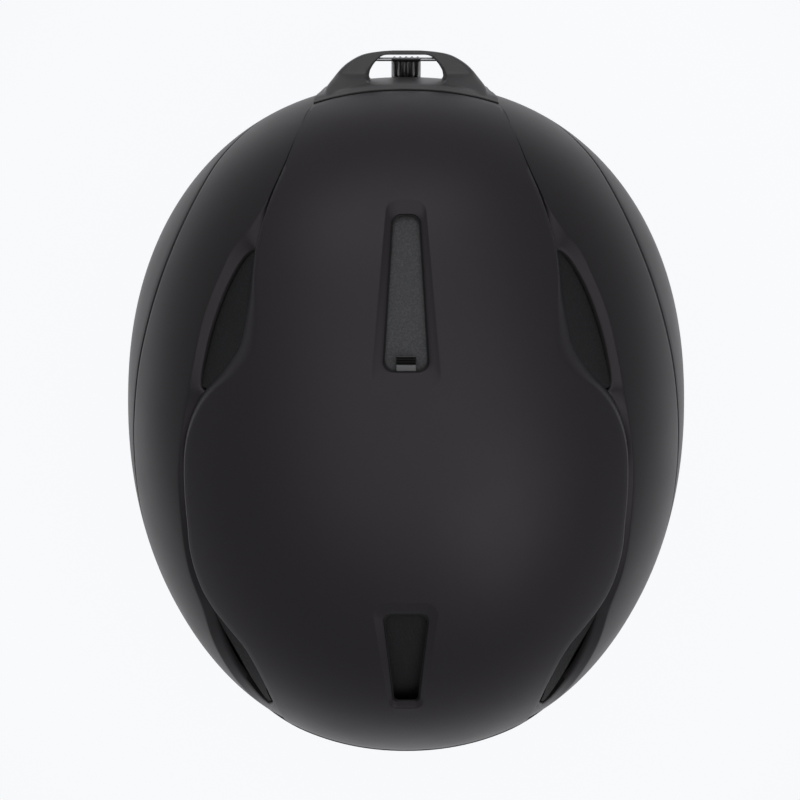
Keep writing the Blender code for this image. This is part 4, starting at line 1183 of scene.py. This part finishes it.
def ring_point(arc, radius, height):
    """Point on the fit ring: arc is the distance along it from the nape towards +X."""
    rearward = Vector((0, math.cos(RING_TILT), -math.sin(RING_TILT)))
    upward = Vector((0, math.sin(RING_TILT), math.cos(RING_TILT)))
    turn = arc / RING_RADIUS
    outward = Vector((1, 0, 0)) * math.sin(turn) + rearward * math.cos(turn)
    return RING_CENTER + outward * radius + upward * height


def make_dial():
    """Knurled knob with a dished face."""
    center = ring_point(0, RING_RADIUS + 0.0075, 0)
    outward = (ring_point(0, RING_RADIUS + 1, 0) - center).normalized()
    def grip(turn, along):
        if not 0.0004 < along < 0.0094:
            return 1.0
        return 0.972 + 0.028 * abs(math.cos(turn * 10)) ** 0.6
    profile = [(0.0070, 0.0001), (0.0070, 0.0026), (0.0, 0.0026), (0.0, 0.0150),
               (0.0005, 0.0160), (0.0012, 0.0164), (0.0030, 0.0165), (0.0060, 0.0162),
               (0.0085, 0.0158), (0.0093, 0.0154), (0.0098, 0.0146), (0.0100, 0.0136),
               (0.0099, 0.0126), (0.0094, 0.0116), (0.0088, 0.0100), (0.0085, 0.0080),
               (0.0084, 0.0040), (0.0084, 0.0001)]
    stand_for(lathe("fit_dial_knob", center, outward, profile, looks["fit_plastic"], 240, grip),
              "fit_dial")
    loops = []
    x_axis = Vector((1, 0, 0))
    y_axis = outward.cross(x_axis)
    for turn in turns(60):
        ray = x_axis * math.cos(turn) + y_axis * math.sin(turn)
        ring = center + ray * 0.0106
        loops.append([ring + outward * (0.0086 + up) + ray * across
                      for across, up in rounded_section(0.0004, 0.0003, 0.0002, 1)])
    go_with(loft("fit_dial_line", loops, looks["trim_rubber"], ring=True), "fit_dial")


def make_fit_system():
    make_dial()
    polished("fit_housing", 0.0009, 3)
    polished("fit_housing_cover", 0.0008, 3)
    polished("fit_pinion", 0.00015, 1)
    for _, word in SIDES:
        for piece, width, segments in (("fit_band_", 0.0003, 2), ("band_guide_", 0.0012, 3),
                                       ("cradle_arm_", 0.0004, 2), ("ear_stud_front_", 0.0004, 2),
                                       ("ear_stud_rear_", 0.0004, 2)):
            polished(piece + word, width, segments)
    def nape_place(u, v, w):
        return ring_point(-0.030 + 0.060 * u, RING_RADIUS - 0.0038 - 0.0050 * w,
                          -0.017 + 0.034 * v)
    cushion("nape_pad", nape_place, 36, swell=0.001)
    polished("goggle_clip_catch", 0.0006, 3)


# ---------------------------------------------------------------- straps

def strap_route(side, start, shift):
    turn = SPLITTER[0] + shift
    foot = (side * turn, polar_at(turn, SPLITTER[1]) - 3.4)
    return (side * start, rim_polar(start) - 5.5), foot


def strap_frame(top, foot, half, inset):
    """place(t, across, up) on a strap that lies along the dome."""
    reach = dome_point(top[0], top[1], inset).length
    shrink = math.sin(math.radians((top[1] + foot[1]) / 2))
    run = Vector(((foot[0] - top[0]) * shrink, foot[1] - top[1]))
    across_step = Vector((-run.y, run.x)).normalized() * math.degrees(1 / reach)
    def place(t, across, up):
        offset = across_step * across
        azimuth = top[0] + (foot[0] - top[0]) * t + offset.x / shrink
        polar = top[1] + (foot[1] - top[1]) * t + offset.y
        return dome_point(azimuth, polar, inset - up)
    return place


def woven(name, place, stops, half, thick=0.0008, corner=0.0004):
    """Webbing along place(t, across, up), half as wide as half(t) says."""
    loops = [[place(t, across, up) for across, up in rounded_section(half(t), thick, corner)]
             for t in stops]
    return loft(name, loops, looks["webbing"])


def stitch_row(name, places, node):
    """Short raised stitches, each from a start to an end on a surface that faces up."""
    bm = bmesh.new()
    for start, end, up in places:
        side = (end - start).cross(up).normalized() * 0.00022
        lift = up.normalized() * 0.00016
        middle = (start + end) / 2
        spots = [spot + across for spot in (start, middle + lift * 2.2, end)
                 for across in (-side, side)]
        a, b, c, d, e, f, low = (bm.verts.new(spot) for spot in spots + [middle - lift])
        for corners in ((a, b, d, c), (c, d, f, e), (a, c, low), (c, e, low), (b, low, d),
                        (d, low, f), (a, low, b), (e, f, low)):
            bm.faces.new(corners)
    bmesh.ops.recalc_face_normals(bm, faces=bm.faces[:])
    go_with(keep(name, bm, thread_look, 60), node, "webbing")


def make_fixed_straps():
    for side, word in SIDES:
        for end, start, shift in STRAP_ENDS:
            top, foot = strap_route(side, start, shift)
            place = strap_frame(top, foot, STRAP_HALF, 0.00595)
            node = "strap_%s_%s" % (end, word)
            stand_for(woven(node + "_woven", place, spread(0, 1, 60), lambda t: STRAP_HALF,
                            0.00072), node)
            rows = []
            for line in (-0.0061, 0.0061):
                for t in spread(0.24, 0.96, 26)[:-1]:
                    a, b = place(t, line, 0.00072), place(t + 0.016, line, 0.00072)
                    rows.append((a, b, a.normalized()))
            stitch_row(node + "_stitches", rows, node)
            polished("strap_anchor_%s_%s" % (end, word), 0.0003, 2)
        make_splitter(side, word)


def make_splitter(side, word):
    """Moulded plate that gathers the three straps, with one slot, for the chin loop, cut through
    its lower part.
    """
    azimuth, high, low = SPLITTER
    middle = (polar_at(azimuth, high) + polar_at(azimuth, low)) / 2
    tall = (polar_at(azimuth, low) - polar_at(azimuth, high)) / 2
    loops = []
    for turn in turns(64):
        across = signed_power(math.cos(turn), 0.5)
        up = signed_power(math.sin(turn), 0.5)
        taper = 1 + 0.12 * -up
        def at(size, inset):
            return dome_point(side * (azimuth + 7.9 * across * size * taper),
                              middle + tall * up * size, inset)
        loops.append([at(0.0, 0.0009), at(0.55, 0.0008), at(0.80, 0.0011), at(0.93, 0.0019),
                      at(1.0, 0.0030), at(1.0, 0.0048), at(0.94, 0.0058), at(0.80, 0.0062),
                      at(0.0, 0.0062)])
    plate = loft("splitter_plate_" + word, loops, looks["buckle_plastic"], ring=True, pole=True,
                 angle=60)
    cut(plate, block((side * 0.089, CHIN_Y, LOOP_Z), (0.03, 0.0165, 0.0022)))
    soften(plate, 60)
    stand_for(plate, "strap_splitter_" + word)
    make_chin_loop(side, word)


def make_chin_loop(side, word):
    """Webbing sewn into a loop round the splitter's lower bar, at the top of each chin strap."""
    def lie(height, inset):
        point = dome_point(SPLITTER[0], polar_at(SPLITTER[0], height), inset)
        return side * point.x, point.z
    top_x, top_z = side * 0.0880, -0.1004
    path = [(top_x + side * 0.0006, top_z - 0.0022), (top_x + side * 0.0011, top_z),
            lie(-0.0965, 0.0), lie(-0.0948, -0.0001), lie(LOOP_Z - 0.0006, 0.0004),
            lie(LOOP_Z, 0.0018), lie(LOOP_Z, 0.0052), lie(LOOP_Z - 0.0006, 0.0068),
            lie(-0.0948, 0.0072), lie(-0.0965, 0.0070), (top_x - side * 0.0007, top_z),
            (top_x - side * 0.0006, top_z - 0.0022)]
    loop = woven("chin_loop_" + word, partial(chin_place, path, reach=0.1),
                 spread(0, len(path) - 1, 44), lambda t: 0.0047, 0.0005, 0.0003)
    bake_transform(loop)


def path_point(path, t):
    x, z = line_at(path, t)
    return Vector((x, 0, z))


def path_normal(path, t, reach=0.04):
    """Normal at t of a chin strap's path, from the run between two points at reach from t."""
    last = len(path) - 1
    along = path_point(path, min(t + reach, last)) - path_point(path, max(t - reach, 0))
    along.normalize()
    return Vector((-along.z, 0, along.x))


def chin_place(path, t, across, up, reach=0.04):
    point = path_point(path, t) + path_normal(path, t, reach) * up
    return Vector((point.x, CHIN_Y + across, point.z))


def make_chin_straps():
    def neck(t):
        return 0.005 + 0.005 * smooth(0.9, 1.8, t)
    long_place = partial(chin_place, CHIN_PATH)
    stand_for(woven("chin_strap_right_woven", long_place, spread(0, 9, 150), neck),
              "chin_strap_right")
    rows = []
    for line in (-0.0085, 0.0085):
        for i in range(90):
            t = 3.35 + i * 0.05
            if 4.6 < t < 7.4:  # under the chin pad
                continue
            rows.append((long_place(t, line, -0.0008), long_place(t + 0.034, line, -0.0008),
                         -path_normal(CHIN_PATH, t)))
    stitch_row("chin_strap_stitches", rows, "chin_strap_right")
    short_path = ((0.0880, -0.1000), (0.0873, -0.1065), (0.0845, -0.1130))
    stand_for(woven("chin_strap_left_woven", partial(chin_place, short_path), spread(0, 2, 30),
                    lambda t: 0.0046 + 0.0025 * t / 2), "chin_strap_left")
    def pad_place(u, v, w):
        return long_place(4.7 + 2.6 * u, 0.014 * (2 * v - 1), 0.0034 + 0.0045 * (w - 0.5))
    cushion("chin_pad", pad_place, 44, swell=0.0012, fill=0.55)
    for node, width, segments in (("strap_adjuster", 0.0008, 3), ("strap_keeper", 0.0004, 2),
                                  ("buckle_male", 0.0016, 4), ("buckle_female", 0.0016, 4)):
        polished(node, width, segments)


# ---------------------------------------------------------------- set

def make_camera():
    data = bpy.data.cameras.new("camera")
    camera = bpy.data.objects.new("camera", data)
    bpy.context.scene.collection.objects.link(camera)
    distance = 14.0
    width = 0.328
    aside = -0.0025
    data.sensor_width = 36
    data.lens = data.sensor_width * distance / width
    data.clip_end = 60
    camera.location = (aside, 0, distance)
    bpy.context.scene.camera = camera


def make_set():
    """Pale glowing floor, a soft sky and three soft lamps."""
    bm = bmesh.new()
    bmesh.ops.create_grid(bm, x_segments=2, y_segments=2, size=6)
    bmesh.ops.translate(bm, vec=(0, 0, cad_box[0][2] - 0.0005), verts=bm.verts[:])
    glow = Paint("floor_white", (0.06, 0.06, 0.06), 1.0, Specular_IOR_Level=0.0,
                 Emission_Color=(0.958, 0.968, 0.988, 1))
    reach = glow.add("VectorMath", {"operation": "LENGTH"})
    glow.feed(reach, 0, glow.place)
    fade = glow.add("MapRange", {"interpolation_type": "SMOOTHSTEP"},
                    Value=reach.outputs["Value"], From_Min=0.24, From_Max=0.70, To_Min=0.955,
                    To_Max=0.36)
    glow.feed(glow.shader, "Emission Strength", fade.outputs[0])
    paint = glow.done()
    keep("floor", bm, paint)
    world = bpy.data.worlds.new("studio")
    bpy.context.scene.world = world
    world.use_nodes = True
    sky = world.node_tree.nodes["Background"]
    sky.inputs["Color"].default_value = (0.97, 0.985, 1.0, 1)
    sky.inputs["Strength"].default_value = 0.28
    for name, place, size, power in (("front_light", (1.0, -0.8, 1.5), (1.0, 1.0), 4.5),
                                     ("top_light", (0.0, 0.1, 1.8), (2.0, 2.0), 8.8),
                                     ("rear_light", (-0.2, 1.5, 1.2), (1.6, 0.8), 6.0)):
        data = bpy.data.lights.new(name, "AREA")
        data.shape = "RECTANGLE"
        data.size, data.size_y = size
        data.energy = power
        light = bpy.data.objects.new(name, data)
        bpy.context.scene.collection.objects.link(light)
        light.location = place
        light.rotation_euler = (-Vector(place)).to_track_quat("-Z", "Y").to_euler()
    bpy.context.scene.view_settings.view_transform = "Standard"


for node, item in nodes.items():
    item.data.materials.clear()
    item.data.materials.append(looks[slots[node]])
make_camera()
make_set()
make_center_shell()
make_side_shell()
make_lower_shell()
make_rim_trim()
make_side_floors()
make_brow_floor()
make_shutter()
make_foam()
make_pads()
make_ear_pads()
make_goggle_clip()
make_clip_flap()
make_clip_screws()
make_fit_system()
make_fixed_straps()
make_chin_straps()
settle_cushions()
